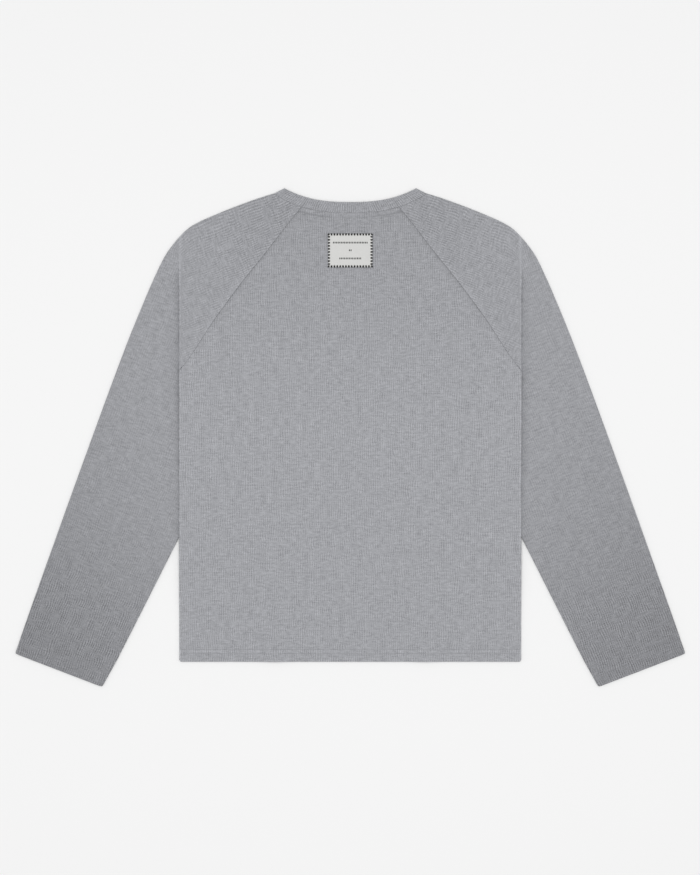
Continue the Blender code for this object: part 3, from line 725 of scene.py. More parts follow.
def label_material(name, hex_code):
    """Woven polyester satin: fine weft floats across the label, with a soft low gloss."""
    made, tree, shader = new_material(name)
    place = add(tree, "TexCoord").outputs["Object"]
    # picks 0.5 mm apart, as fine as shows, over warp ends 0.9 mm apart
    weft, warp = [
        add(tree, "TexWave",
            {"Vector": place, "Scale": WAVE_LENGTH / pitch, "Distortion": 0.6},
            bands_direction=way).outputs["Fac"]
        for way, pitch in (("Y", 0.5 * MM), ("X", 0.9 * MM))
    ]
    weave = add(tree, "Math", (warp, 0.4, weft), operation="MULTIPLY_ADD")
    # the satin lies uneven over about 6 mm
    cloud = add(tree, "TexNoise", {"Vector": place, "Scale": 1.0 / (6.0 * MM), "Detail": 3.0})
    shade = add(tree, "MapRange", (cloud, 0.0, 1.0, 0.88, 0.96), clamp=False)
    shade = add(tree, "Math", (weave, 0.06, shade), operation="MULTIPLY_ADD")
    colour = add(tree, "VectorMath", {0: linear(hex_code)[:3], "Scale": shade},
                 operation="SCALE")
    bump = add(tree, "Bump", {"Height": weave, "Strength": 0.35, "Distance": 0.08 * MM})
    dress(tree, shader, colour, bump, {"Roughness": 0.55, "Sheen Weight": 0.1})
    return made


def waffle_knit():
    """The waffle knit of the panels and sleeves, made once."""
    cloth = bpy.context.scene.knit_top_cloth
    return bpy.data.materials.get("cotton_waffle_knit") or knit_material(
        "cotton_waffle_knit", cloth.rib_pitch, cloth.course_pitch, course_share=0.55, depth=0.38)


# ---- body panels -------------------------------------------------------------

def curl(x, y, middle, layer, last):
    """Points of an edge that curls round from its layer towards its seam."""
    stop = math.acos(SEAM_GAP / 2 / HALF)
    made = []
    for step in range(1, ARC_STEPS + 1):
        angle = stop * step / ARC_STEPS
        point = (x + HALF * math.sin(angle), y, middle + layer * HALF * math.cos(angle))
        made.append((last + step / 10.0, point, 0.0))
    return made


def mirrored(row):
    """A row from side to side, made from its right half."""
    left = [(-key, (-x, y, z), turn) for key, (x, y, z), turn in reversed(row) if x > 0.0]
    return left + row


def corner_lift(x, half, height):
    """How far a corner's rounding lifts an edge at x, fading out above it."""
    inside = np.clip((x - half + CORNER_RADIUS) / CORNER_RADIUS, 0.0, 1.0)
    rounding = CORNER_RADIUS * (1.0 - math.sqrt(max(1.0 - inside * inside, 0.0)))
    return rounding * float(ease(1.0 - height / (3.0 * CORNER_RADIUS)))


def panel_rows(side):
    """Rows of the back or front panel: up the side seams, then along the raglan seams."""
    layer = 1.0 if side == "back" else -1.0
    top = RAGLAN_TOP[side]

    def half_row(width, y):
        fall = max((y - UNDERARM_Y) / (top[1] - UNDERARM_Y), 0.0) ** 2
        inner = width - NOSE[-1]
        row = []
        xs = [inner * k / COLUMNS for k in range(COLUMNS)] + [width - d for d in reversed(NOSE)]
        for key, x in enumerate(xs):
            sag = (top[1] - neck_seam(side, x)) * fall if fall > 0.0 and x < top[0] else 0.0
            rounded = corner_lift(x, BODY_HALF - ROUND, y - HEM_Y)
            height = TUBE_MIDDLE + layer * HALF + rise(x, y - sag)
            row.append((key, (x, y - sag + rounded, height), 0.0))
        return row

    rows = []
    corner = CORNER_STEP if side == "front" else BACK_CORNER
    for distance in stations(UNDERARM_Y - HEM_Y - corner, fine=STITCHED):
        y = HEM_Y + distance
        row = half_row(BODY_HALF - EDGE, y)
        middle = TUBE_MIDDLE + rise(BODY_HALF - EDGE, y)
        rounded = corner_lift(BODY_HALF - ROUND, BODY_HALF - ROUND, distance)
        row += curl(BODY_HALF - EDGE, y + rounded, middle, layer, row[-1][0])
        rows.append(row)
    if side == "front":
        rows.append(half_row(BODY_HALF - FRONT_CORNER[0], UNDERARM_Y - FRONT_CORNER[1]))
    for distance in stations(PLEAT_TOP[1] - UNDERARM_Y - corner)[:-1]:
        y = UNDERARM_Y + corner + distance
        part = raglan_at(side, y)
        gap = RAGLAN_HALF_GAP * float(np.interp(part, *RAGLAN_OPEN))
        rows.append(half_row(raglan(side, part)[0] - gap, y))
    part = raglan_at(side, PLEAT_TOP[1])
    length = math.dist(top, raglan(side, part))
    for distance in reversed(stations(length, fine=SEAMED)):
        x, y = raglan(side, part * distance / length, -SEAM_GAP / 2)
        rows.append(half_row(x, y))
    return [mirrored(row) for row in rows]


def raglan_distance(side, x, y):
    """Distance from the raglan seam, towards the body."""
    chord = (np.abs(x), y, RAGLAN_TOP[side], UNDERARM)
    return right_of(*chord) + np.interp(np.clip(share_along(*chord), 0.0, 1.0), *BOW_LINES[side])


def raglan_opened(side, y):
    """How open the raglan seam lies at the height y."""
    top = RAGLAN_TOP[side][1]
    return np.interp(np.clip((top - y) / (top - UNDERARM_Y), 0.0, 1.0), *RAGLAN_OPEN)


def make_panel(side):
    """The back or the front of the body."""
    mesh, points, _ = sheet_mesh(side + "_panel_cloth", [panel_rows(side)])
    x, y = points[:, 0], points[:, 1]
    above = y - HEM_Y
    share = PLAIN * nose(above) * grooves(above, HEM_LINES)
    seam = raglan_distance(side, x, y)
    opened = raglan_opened(side, y)
    near = y > UNDERARM_Y
    share = np.where(near, share * nose(np.maximum(seam, 0.0), ROUND * opened), share)
    # distance below the neck seam, measured square to it
    spots = np.linspace(0.0, RAGLAN_TOP[side][0], SEAM_POINTS)
    curve = np.array([neck_seam(side, v) for v in spots])
    lean = np.interp(np.abs(x), spots, np.gradient(curve, spots))
    below = (np.interp(np.abs(x), spots, curve) - y) / np.sqrt(1.0 + lean ** 2)
    at_neck = np.interp(np.abs(x), *NECK_OPEN)
    pull = np.interp(np.abs(x), *NECK_PULL)
    stitched = 1.0 - (1.0 - grooves(below, (NECK_LINE,))) * np.minimum(pull, 1.0)
    share = np.where(near, share * nose(np.maximum(below, 0.0), ROUND * at_neck) * stitched, share)
    # the seam's allowance, turned down under the topstitch, lifts the cloth
    start, before, fall = ALLOWANCE_FADE
    allowance = ALLOWANCE_LIFT * ease(below / start) * ease((NECK_LINE - before - below) / fall)
    points[:, 2] += np.where(near & (side == "back"), allowance * np.minimum(pull, 1.0), 0.0)
    # painted shade on the body along the raglan seam, and fainter beyond it
    change = (painted_light_at(seam, SEAM_SHADE) + painted_light_at(seam, BROAD_SEAM_SHADE)) * opened
    # painted shade in the groove of the neck's topstitch
    change += pull * painted_light_at(below - NECK_LINE, NECK_GROOVE_SHADE)
    # painted highlight between the neck seam and its topstitch, and between the hem's needle lines
    change += pull * painted_light_at(below - NECK_LINE / 2, BAND_HIGHLIGHT)
    change = np.where(near, change, painted_light_at(above - HEM_MIDDLE, BAND_HIGHLIGHT))
    # painted shade up the body, lighter in its middle and darker towards the neck and the hem
    tone = np.interp(y, *BODY_SHADE) * (1.0 + change)
    # painted highlight along the body's side edges
    tone *= 1.0 + painted_light_at(SOLID_HALF - np.abs(x), RIM_HIGHLIGHT)
    return finish_cloth(mesh, points, share, points[:, :2], tone, BODY_LOFT, waffle_knit())


# ---- sleeves -----------------------------------------------------------------
# keys of a row's points, from the outer edge in
KEY_OUT = 10.0
KEY_LOWER_FOLD = 100.0
KEY_UPPER_FOLD = KEY_LOWER_FOLD + FOLD_STEPS + 1
KEY_CAP = 200.0
GRAIN_CORNER = (254.0, 314.0)    # where the knit's run down the shoulder meets that of the sleeve


def edge_arc(s, z, sign):
    """Points of (key, s, z) round a folded edge, from its outermost point to its layer."""
    made = []
    for step in range(ARC_STEPS):
        angle = math.pi / 2 * (1.0 - step / ARC_STEPS)
        made.append((float(step), s + HALF * math.sin(angle), z + sign * HALF * math.cos(angle)))
    return made


def outside(s_from, s_to):
    """Middle line beyond the folds, on the table, from the outer edge in: (key, s, z, lean)."""
    return [(KEY_OUT + k, between(s_to, s_from, k / OUT_COLUMNS), TUBE_MIDDLE, 0.0)
            for k in range(OUT_COLUMNS)]


def hidden_x(y):
    """Inner side of the hidden fold at the height y."""
    down = (PLEAT_TOP[1] - y) / (PLEAT_TOP[1] - HIDDEN_CORNER[1])
    return between(PLEAT_TOP[0], HIDDEN_CORNER[0], down)


def folds(y, turn):
    """Middle line round the upper and the lower fold of the pleat: (key, s, z, lean)."""
    fall = rise(BODY_HALF, y) if turn < math.pi else 4.0 * LAYER
    radius = fall / (2.0 * (1.0 - math.cos(turn)))
    x = BODY_HALF - radius * math.sin(min(turn, math.pi / 2)) - EDGE * max(-math.cos(turn), 0.0)
    length = max(x - (hidden_x(y) + radius + EDGE), 0.0) if turn == math.pi else 0.0
    z = TUBE_MIDDLE + fall
    path = []
    for k in range(FOLD_STEPS + 1):
        lean = turn * k / FOLD_STEPS
        spot = (x + radius * math.sin(lean), z - radius * (1.0 - math.cos(lean)))
        path.append((KEY_UPPER_FOLD + FOLD_STEPS - k, *spot, lean))
    x += radius * math.sin(turn) + length * math.cos(turn)
    z -= radius * (1.0 - math.cos(turn)) + length * math.sin(turn)
    for k in range(FOLD_STEPS + 1):
        lean = turn * (1.0 - k / FOLD_STEPS)
        spot = (x + radius * (math.sin(turn) - math.sin(lean)),
                z - radius * (math.cos(lean) - math.cos(turn)))
        path.append((KEY_LOWER_FOLD + FOLD_STEPS - k, *spot, lean))
    return path


def layers(path, origin, heading, rounded=None):
    """The back and front layers either side of a middle line, each from the outer edge in."""
    def place(s, z):
        return (*step_from(origin, heading, s, rounded(s) if rounded else 0.0), z)

    both = []
    s_edge, z_edge = path[0][1], path[0][2]
    for sign in (1.0, -1.0):
        row = [(key, place(s, z), 1.0) for key, s, z in edge_arc(s_edge, z_edge, sign)]
        for key, s, z, lean in path:
            out, up = sign * HALF * math.sin(lean), sign * HALF * math.cos(lean)
            row.append((key, place(s + out, z + up), 1.0))
        both.append(row)
    return both


def whole_path(y, turn, first=0):
    """A row's middle line from the outer edge in, to the fold point counted from the upper one."""
    folded = folds(y, turn)[first:]
    return outside(folded[-1][1], outer_x(y) - EDGE) + folded[::-1]


def cap_steps(width):
    """Distances from the raglan seam of the cap's inner columns, from the pleat in."""
    small = min(1.0, width / (3.0 * NOSE[-1]))
    start = NOSE[-1] * small
    return [between(width, start, k / CAP_COLUMNS) for k in range(1, CAP_COLUMNS)] \
        + [d * small for d in reversed(NOSE)]


def fan_turn(x, y):
    """How far the knit has turned from the shoulder to the sleeve, round the top of the pleat."""
    turned = math.atan2(y - PLEAT_TOP[1] + FAN_INSET, x - PLEAT_TOP[0] + FAN_INSET)
    return float(ease((FAN_START - math.degrees(turned)) / FAN_SPAN))


def cap_rows():
    """Rows from the neckband to the top of the pleat, each layer to its own raglan seam."""
    rows = []
    kept = OUTER_LINE[:, 1] > PLEAT_TOP[1]
    line = np.vstack([OUTER_LINE[kept], [(outer_x(PLEAT_TOP[1]), PLEAT_TOP[1])]])
    run = run_along(line)
    last = direction(line[-2], line[-1])

    def edge_at(distance):
        if distance > run[-1]:
            return step_from(line[-1], last, distance - run[-1])
        return tuple(float(np.interp(distance, run, line[:, axis])) for axis in (0, 1))

    for along in stations(run[-1], fine=SEAMED):
        part = along / run[-1]
        heading = (0.0, -1.0)
        if part < 1.0:
            heading = direction(edge_at(along - EDGE_REACH), edge_at(along + EDGE_REACH))
        folded = step_from(edge_at(max(along, SEAM_GAP / 3)), heading, 0.0, -EDGE)
        pair = []
        for side, sign in (("back", 1.0), ("front", -1.0)):
            seam = raglan(side, part * raglan_at(side, PLEAT_TOP[1]), SEAM_GAP / 2)
            width = math.dist(seam, folded)
            sagging = float(ease(1.0 - along / CAP_SAG))

            def lay(share):
                x, y = between(seam, folded, share)
                if side == "back":
                    curve = back_neck(between(BACK_RAGLAN_X, SEAM_TIP[0], share)) \
                        - between(RAGLAN_TOP["back"][1], SEAM_TIP[1], share)
                    y += float(curve) * sagging
                else:
                    angle = FRONT_RAGLAN_ANGLE * (1.0 - share)
                    on = front_curve(SEAM_TIP, FRONT_SEAM_Y, angle)
                    chord = between(RAGLAN_TOP["front"], SEAM_TIP, share)
                    x += (on[0] - chord[0]) * sagging
                    y += (on[1] - chord[1]) * sagging
                return (x, y, TUBE_MIDDLE + sign * HALF + rise(x, y))

            row = [(key, (*step_from(folded, heading, 0.0, s), z))
                   for key, s, z in edge_arc(0.0, TUBE_MIDDLE, sign)]
            row += [(KEY_OUT + k, lay(1.0 - (1.0 - CAP_SHARE) * k / OUT_COLUMNS))
                    for k in range(OUT_COLUMNS)]
            row.append((KEY_LOWER_FOLD, lay(CAP_SHARE)))
            row += [(KEY_CAP + k, lay(distance / width))
                    for k, distance in enumerate(cap_steps(width * CAP_SHARE))]
            pair.append([(key, point, fan_turn(point[0], point[1])) for key, point in row])
        rows.append(pair)
    return rows


def pleat_rows():
    """Rows across the pleat, from its top to the underarm."""
    rows = []
    for distance in stations(PLEAT_TOP[1] - UNDERARM_Y - CORNER_STEP)[1:-1]:
        y = PLEAT_TOP[1] - distance
        turn = math.radians(float(np.interp(y, *PLEAT_TURN)))
        path = whole_path(y, turn)
        pair = layers(path, (0.0, y), (1.0, 0.0))
        for row, side, sign in zip(pair, ("back", "front"), (1.0, -1.0)):
            seam_x = raglan(side, raglan_at(side, y))[0] + RAGLAN_HALF_GAP
            for k, step in enumerate(cap_steps(path[-1][1] - seam_x)):
                x = seam_x + step
                row.append((KEY_CAP + k, (x, y, TUBE_MIDDLE + sign * HALF + rise(x, y)), 0.0))
        rows.append(pair)
    return rows


def corner_rows(corner_y, first):
    """Rows whose seam end goes round a fold, from its top to below it."""
    rows = []
    for k in range(5):
        y = corner_y + CORNER_STEP * (1.0 - k / 2.0)
        path = whole_path(y, math.pi, first + k * FOLD_STEPS // 4)
        rows.append(layers(path, (0.0, y), (1.0, 0.0)))
    return rows


def underarm_rows():
    """Rows from the underarm down to the hidden corner, where the seam is on the middle layers."""
    rows = corner_rows(UNDERARM_Y, 0)
    seam_top = UNDERARM_Y - CORNER_STEP
    seam_end = HIDDEN_CORNER[1] + CORNER_STEP
    upper = folds(seam_top, math.pi)[FOLD_STEPS][1]
    lower = folds(seam_end, math.pi)[FOLD_STEPS + 1][1]
    for distance in stations(seam_top - seam_end)[1:-1]:
        seam = between(upper, lower, distance / (seam_top - seam_end))
        y = seam_top - distance
        path = whole_path(y, math.pi, FOLD_STEPS)
        key, _, z, lean = path[-1]
        path[-1] = (key, seam, z, lean)
        rows.append(layers(path, (0.0, y), (1.0, 0.0)))
    return rows + corner_rows(HIDDEN_CORNER[1], FOLD_STEPS + 1)


def lower_rows():
    """Rows from below the hidden corner to the cuff, swinging round to lie along the cuff."""
    rows = []
    first_y = HIDDEN_CORNER[1] - CORNER_STEP
    start = (hidden_x(first_y), first_y)
    length = math.dist(start, CUFF_INNER)
    for distance in reversed(stations(length, fine=STITCHED)[:-1]):
        part = 1.0 - distance / length
        inner = between(start, CUFF_INNER, part)
        inner = (inner[0] + float(np.interp(inner[1], *INNER_BOW)), inner[1])
        edge_y = between(first_y, CUFF_OUTER[1], part)
        edge = (outer_x(edge_y), edge_y)
        width = math.dist(inner, edge)
        heading = direction(inner, edge)

        def rounded(s):
            return corner_lift(max(s, width - s), width - ROUND, distance)

        path = outside(EDGE, width - EDGE) + [(KEY_LOWER_FOLD, EDGE, TUBE_MIDDLE, 0.0)]
        pair = layers(path, inner, heading, rounded)
        for row, sign in zip(pair, (1.0, -1.0)):
            for key, (s, _, z), _ in curl(-EDGE, 0.0, TUBE_MIDDLE, sign, KEY_LOWER_FOLD):
                row.append((key, (*step_from(inner, heading, -s, rounded(0.0)), z), 1.0))
        rows.append(pair)
    return rows


def sleeve_grain(points, turn):
    """The knit's coordinates on a sleeve: across its ribs, and along them from the shoulder."""
    x, y = np.abs(points[:, 0]), points[:, 1]
    grains = []
    for start, end in ((OUTER_EDGE[1], OUTER_EDGE[4]), (OUTER_EDGE[8], OUTER_EDGE[11])):
        heading = direction(start, end)
        along = (x - GRAIN_CORNER[0]) * heading[0] + (y - GRAIN_CORNER[1]) * heading[1]
        grains.append((right_of(x, y, start, end), along))
    return np.stack([between(a, b, turn) for a, b in zip(*grains)], axis=1)


def make_sleeve(name, way, rows):
    """One sleeve, as a tube of two layers that share the folded outer edge."""
    halves = [
        [[(key, (x * way, y, z), turn) for key, (x, y, z), turn in pair[layer]] for pair in rows]
        for layer in (0, 1)
    ]
    mesh, points, turn = sheet_mesh(name, halves)
    x, y, z = np.abs(points[:, 0]), points[:, 1], points[:, 2]
    cuff = -right_of(x, y, CUFF_INNER, CUFF_OUTER)
    share = PLAIN * nose(cuff) * grooves(cuff, CUFF_LINES)
    grain = sleeve_grain(points, turn)
    # painted shade down the sleeve, darker towards the cuff
    tone = np.interp(grain[:, 1], *SLEEVE_SHADE)
    # painted highlight between the cuff's needle lines
    tone *= 1.0 + painted_light_at(cuff - CUFF_MIDDLE, BAND_HIGHLIGHT)
    # painted shadow of the body's edge on the sleeve beside the upright fold, faded in and out at
    # its ends
    start, end, fade = FOLD_SHADOW_FADE
    beside = ease((PLEAT_TOP[1] - start - y) / fade) * ease((y - SLEEVE_EXIT[1] + end) / fade)
    tone *= 1.0 + painted_light_at(x - BODY_HALF, FOLD_SHADOW) * beside * (x > BODY_HALF)
    cap = (x < BODY_HALF) & (y > UNDERARM_Y)
    # painted highlight on the cap, in line with the body's side edges
    tone *= 1.0 + painted_light_at(SOLID_HALF - x, CAP_EDGE_HIGHLIGHT) * cap
    # painted light, lighter on the sleeve's inner side and darker at its outer edge
    gain, middle, length = INNER_LIGHT
    tone *= 1.0 + gain * (grain[:, 0] / middle - 1.0) * ease(grain[:, 1] / length)
    for side, upper in (("back", True), ("front", False)):
        of_side = cap & ((z > TUBE_MIDDLE + rise(x, y)) == upper)
        seam = np.maximum(-raglan_distance(side, x, y), 0.0)
        opened = raglan_opened(side, y)
        share = np.where(of_side, share * nose(seam, ROUND * opened), share)
        # painted highlight on the sleeve beside the raglan seam
        tone = np.where(of_side, tone * (1.0 + painted_light_at(seam, SEAM_HIGHLIGHT) * opened), tone)
        if upper:
            below = np.maximum(back_neck(np.minimum(x, SEAM_TIP[0])) - y, 0.0)
            at_neck = of_side & (x < SEAM_TIP[0])
            rounded = nose(below * CAP_NECK[0], ROUND * CAP_NECK[1])
            share = np.where(at_neck, share * rounded, share)
    loft = np.interp(grain[:, 1], *SLEEVE_LOFT)
    grain = grain * np.array([way, 1.0])
    return finish_cloth(mesh, points, share, grain, tone, loft, waffle_knit())


# ---- neckband ----------------------------------------------------------------

def even_steps(place, low, high, step):
    """Values from low to high at which place(value) moves on by about one step each time."""
    values = np.linspace(low, high, EVEN_POINTS)
    run = run_along(np.array([place(v) for v in values]))
    count = max(round(run[-1] / step), 2)
    return np.interp(np.linspace(0.0, run[-1], count + 1), run, values)


def band_steps(width):
    """Distances across the band from its free edge to its seam."""
    inner = width - 2 * NOSE[-1]
    return list(NOSE) + [NOSE[-1] + inner * k / BAND_COLUMNS for k in range(1, BAND_COLUMNS)] \
        + [width - d for d in reversed(NOSE)]


def make_neckband():
    """A ring of rib: along the back neck, folded over at each shoulder, and along the front."""
    pitch = bpy.context.scene.knit_top_cloth.band_rib_pitch / MM
    heading = direction(BAND_TIP, SEAM_TIP)

    def back_spot(x):
        return (x, float(back_neck(x, SEAM_GAP / 2 * np.interp(x, *NECK_OPEN))))

    def front_spot(angle):
        return front_curve(SEAM_TIP, FRONT_SEAM_Y, angle, -SEAM_GAP / 2)

    lines = []
    for seam_x in even_steps(back_spot, 0.0, SEAM_TIP[0], pitch / RIB_ROWS):
        edge_x = BAND_TIP[0] * seam_x / SEAM_TIP[0]
        lines.append(((edge_x, float(back_band(edge_x))), back_spot(seam_x), TUBE_MIDDLE + HALF))
    for k in range(1, 2 * ARC_STEPS):
        angle = math.pi / 2 - math.pi * k / (2 * ARC_STEPS)
        ends = [step_from(tip, heading, 0.0, HALF * math.cos(angle))
                for tip in (BAND_TIP, SEAM_TIP)]
        lines.append((*ends, TUBE_MIDDLE + HALF * math.sin(angle)))
    for angle in even_steps(front_spot, 0.0, math.pi / 2, pitch / RIB_ROWS):
        edge = front_curve(BAND_TIP, FRONT_BAND_Y, angle)
        lines.append((edge, front_spot(angle), TUBE_MIDDLE - HALF))

    run = 0.0
    last = None
    rows = []
    for edge, seam, z in lines:
        middle = (*between(edge, seam, 0.5), z)
        run += math.dist(middle, last) if last else 0.0
        last = middle
        width = math.dist(edge, seam)
        rows.append([(key, (*between(edge, seam, d / width), z), (run, d, width))
                     for key, d in enumerate(band_steps(width))])
    ring = [[(key, (-x, y, z), (-run, d, width)) for key, (x, y, z), (run, d, width) in row]
            for row in rows[:0:-1]] + rows
    mesh, points, facts = sheet_mesh("rib_neckband", [ring])
    run, across, width = facts.T
    rib = BAND_RIB * np.cos(run / pitch * 2.0 * math.pi)
    rib *= ease(across / RIB_FADE[0]) * ease((width - across) / RIB_FADE[1])
    seam_round = ROUND * np.interp(np.abs(points[:, 0]), *NECK_OPEN)
    share = PLAIN * nose(across) * nose(width - across, seam_round) * (1.0 + rib)
    share *= grooves(across, *BAND_GROOVE)
    points[:, 2] += np.where(points[:, 2] > TUBE_MIDDLE + HALF * 0.98, rib, 0.0)
    knit = knit_material("cotton_rib_knit", pitch * MM, pitch * MM, course_share=0.25, depth=0.3)
    grain = np.stack([run, across], axis=1)
    return finish_cloth(mesh, points, share, grain, BAND_CLOTH_TONE, BAND_LOFT, knit)


# ---- label -------------------------------------------------------------------

def make_label():
    """A woven patch with its edges turned under, sunk a little into the cloth by its stitches."""
    low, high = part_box("label")
    centre = np.array((low + high) / 2) / MM
    size = np.array(high - low) / MM
    select_only()
    bpy.ops.mesh.primitive_cube_add(size=1.0, location=centre * MM, scale=size * MM)
    label = bpy.context.object
    label.name = label.data.name = "woven_label"
    bpy.ops.object.transform_apply(location=True, rotation=True, scale=True)
    bpy.ops.object.mode_set(mode="EDIT")
    bpy.ops.mesh.select_all(action="SELECT")
    bpy.ops.mesh.subdivide(number_cuts=9)
    bpy.ops.mesh.subdivide(number_cuts=7)
    bpy.ops.object.mode_set(mode="OBJECT")
    co = np.array([v.co for v in label.data.vertices], float) / MM
    place = co[:, :2] - centre[:2]
    inset = size[:2] / 2 - np.abs(place)
    near = inset.min(1)
    # rounded corners
    beyond = np.maximum(LABEL_CORNER - inset, 0.0)
    reach = np.maximum(np.hypot(*beyond.T), 1e-6)[:, None]
    rounded = size[:2] / 2 - LABEL_CORNER + beyond * LABEL_CORNER / reach
    moved = (beyond > 0.0) & (reach > LABEL_CORNER)
    co[:, :2] = np.where(moved, centre[:2] + np.sign(place) * rounded, co[:, :2])
    # the top crowns slightly and rounds down to its edge, scalloped between the stitches
    pitch = size[0] / (bpy.context.scene.knit_top_label.along - 1)
    along = np.where(inset[:, 0] > inset[:, 1], place[:, 0], place[:, 1])
    scallop = 0.5 + 0.5 * np.cos(along / pitch * 2.0 * math.pi)
    scallop *= SCALLOP[0] * np.exp(-((near - SCALLOP[1]) / SCALLOP[2]) ** 2)
    turned = TURNED_EDGE[0] * np.exp(-near / TURNED_EDGE[1])
    crown = CROWN[0] * ease(near / CROWN[1])
    crown += BUCKLE[0] * np.sin(place[:, 0] / BUCKLE[1]) * np.sin(place[:, 1] / BUCKLE[2] + 1.0)
    top = co[:, 2] > centre[2]
    co[:, 2] += np.where(top, crown - turned - scallop, 0.0) - LABEL_SINK
    co[:, 2] += lift(co[:, 0], co[:, 1])
    label.data.vertices.foreach_set("co", (co * MM).ravel())
    label.data.update()
    satin = label_material("woven_satin_label", bpy.context.scene.knit_top_cloth.label_white)
    label.data.materials.append(satin)
    select_only(label)
    bpy.ops.object.shade_smooth_by_angle(angle=math.radians(60.0))
    return centre, size / 2


def model_stitch(length, width, height, arch=0.0):
    """One thread end to end along X, humped in the middle: a shape to copy."""
    select_only()
    bpy.ops.mesh.primitive_uv_sphere_add(segments=8, ring_count=7, radius=0.5,
                                         rotation=(0.0, math.pi / 2, 0.0))
    stitch = bpy.context.object
    bpy.ops.object.transform_apply(location=True, rotation=True, scale=True)
    co = np.array([v.co for v in stitch.data.vertices])
    along = co[:, 0] * 2.0
    co[:, 0] *= length
    full = np.sqrt(np.maximum(1.0 - np.abs(along) ** 3, 0.0))
    full /= np.maximum(np.sqrt(1.0 - along ** 2), 0.2)
    co[:, 1] *= width * full
    co[:, 2] *= height * full
    co[:, 2] += arch * (1.0 - along ** 2)
    faces = [list(p.vertices) for p in stitch.data.polygons]
    bpy.data.objects.remove(stitch)
    return co, faces


def lay_copies(name, shape, places, material):
    """One joined mesh of copies. A place is a centre, a direction and which way is up."""
    co, faces = shape
    verts = []
    polygons = []
    for centre, along, up in places:
        along = np.array(along) / np.linalg.norm(along)
        side = np.cross((0.0, 0.0, up), along)
        side /= np.linalg.norm(side)
        first = len(verts) * len(co)
        verts.append(co @ np.stack([along, side, np.cross(along, side)]) + np.array(centre))
        polygons += [[index + first for index in face] for face in faces]
    mesh = bpy.data.meshes.new(name)
    mesh.from_pydata((np.concatenate(verts) * MM).tolist(), [], polygons)
    mesh.materials.append(material)
    select_only(add_object(name, mesh))
    bpy.ops.object.shade_smooth()


def stitches_along(line, pitch, up):
    """Places of stitches end to end along a line of points."""
    line = np.array(line, float)
    run = run_along(line)
    count = max(int(run[-1] / pitch), 1)
    places = []
    for k in range(count):
        start, end = [
            np.array([np.interp(run[-1] * (k + part) / count, run, axis) for axis in line.T])
            for part in STITCH_ENDS
        ]
        places.append(((start + end) / 2, end - start, up))
    return places


def uneven(lean, k, way):
    """How much the hand-sewn stitch number k leans."""
    most, turn, offset = lean
    return most * math.sin(k * turn + offset * way)


def on_layer(x, y, sign, raised=True):
    """Height of the outside of the upper (1) or lower (-1) layer at a needle line."""
    outside_wall = HALF + WALL * (1.0 - GROOVE_DEPTH) / 2
    under = float(rise(x, y)) if raised else 0.0
    return TUBE_MIDDLE + sign * outside_wall + under + float(lift(x, y))


# ---- operators ---------------------------------------------------------------

class KNITTOP_OT_body(bpy.types.Operator):
    """Makes the back and front panels"""
    bl_idname = "knit_top.body"
    bl_label = "Body panels"

    def execute(self, context):
        make_panel("back")
        make_panel("front")
        return {"FINISHED"}


class KNITTOP_OT_sleeves(bpy.types.Operator):
    """Makes the two raglan sleeves, pleated under the body"""
    bl_idname = "knit_top.sleeves"
    bl_label = "Sleeves"

    def execute(self, context):
        rows = cap_rows() + pleat_rows() + underarm_rows() + lower_rows()
        make_sleeve("left_sleeve", -1.0, rows)
        make_sleeve("right_sleeve", 1.0, rows)
        return {"FINISHED"}


class KNITTOP_OT_neckband(bpy.types.Operator):
    """Makes the ribbed neckband"""
    bl_idname = "knit_top.neckband"
    bl_label = "Neckband"

    def execute(self, context):
        make_neckband()
        return {"FINISHED"}


class KNITTOP_OT_label(bpy.types.Operator):
    """Makes the woven label, its plain woven bars and its overcast stitches"""
    bl_idname = "knit_top.label"
    bl_label = "Label"

    def execute(self, context):
        cloth = context.scene.knit_top_cloth
        settings = context.scene.knit_top_label
        middle, (half_x, half_y, top) = make_label()
        stitches = []
        for k in range(settings.along):
            x = between(-1.0, 1.0, k / (settings.along - 1)) * (half_x - CORNER_INSET)
            for way in (1.0, -1.0):
                lean = uneven(OVERCAST_LEAN[0], k, way)
                if k in (0, settings.along - 1):
                    lean = -math.copysign(1.0, x)
                stitches.append(((x, way * (half_y - OVERCAST_INSET)), (-lean * way, -way)))
        for k in range(settings.down):
            y = between(half_y, -half_y, (k + 1) / (settings.down + 1))
            for way in (1.0, -1.0):
                lean = uneven(OVERCAST_LEAN[1], k, way)
                stitches.append(((way * (half_x - OVERCAST_INSET), y), (-way, lean)))
        bars = [(((k - (count - 1) / 2) * BAR_PITCH, y), (0.0, 1.0))
                for y, count in BAR_ROWS for k in range(count)]
        length, height, arch = OVERCAST
        overcast = model_stitch(length, settings.stitch_width / MM, height, arch)
        black = thread_material("black_polyester_thread", cloth.label_thread, 0.8 * MM)
        weft = thread_material("grey_woven_weft", cloth.label_bars, 0.5 * MM)
        for name, shape, spots, above, tilt, thread in (
            # above the label by so much, and tilted by so much
            ("label_stitches", overcast, stitches, 0.1, OVERCAST_TILT, black),
            ("label_bars", model_stitch(*WOVEN_BAR), bars, 0.03, 0.0, weft),
        ):
            places = []
            for (x, y), along in spots:
                x, y = middle[0] + x, middle[1] + y
                z = middle[2] + top + above + float(lift(x, y))
                places.append(((x, y, z), (*along, tilt), 1.0))
            lay_copies(name, shape, places, thread)
        return {"FINISHED"}


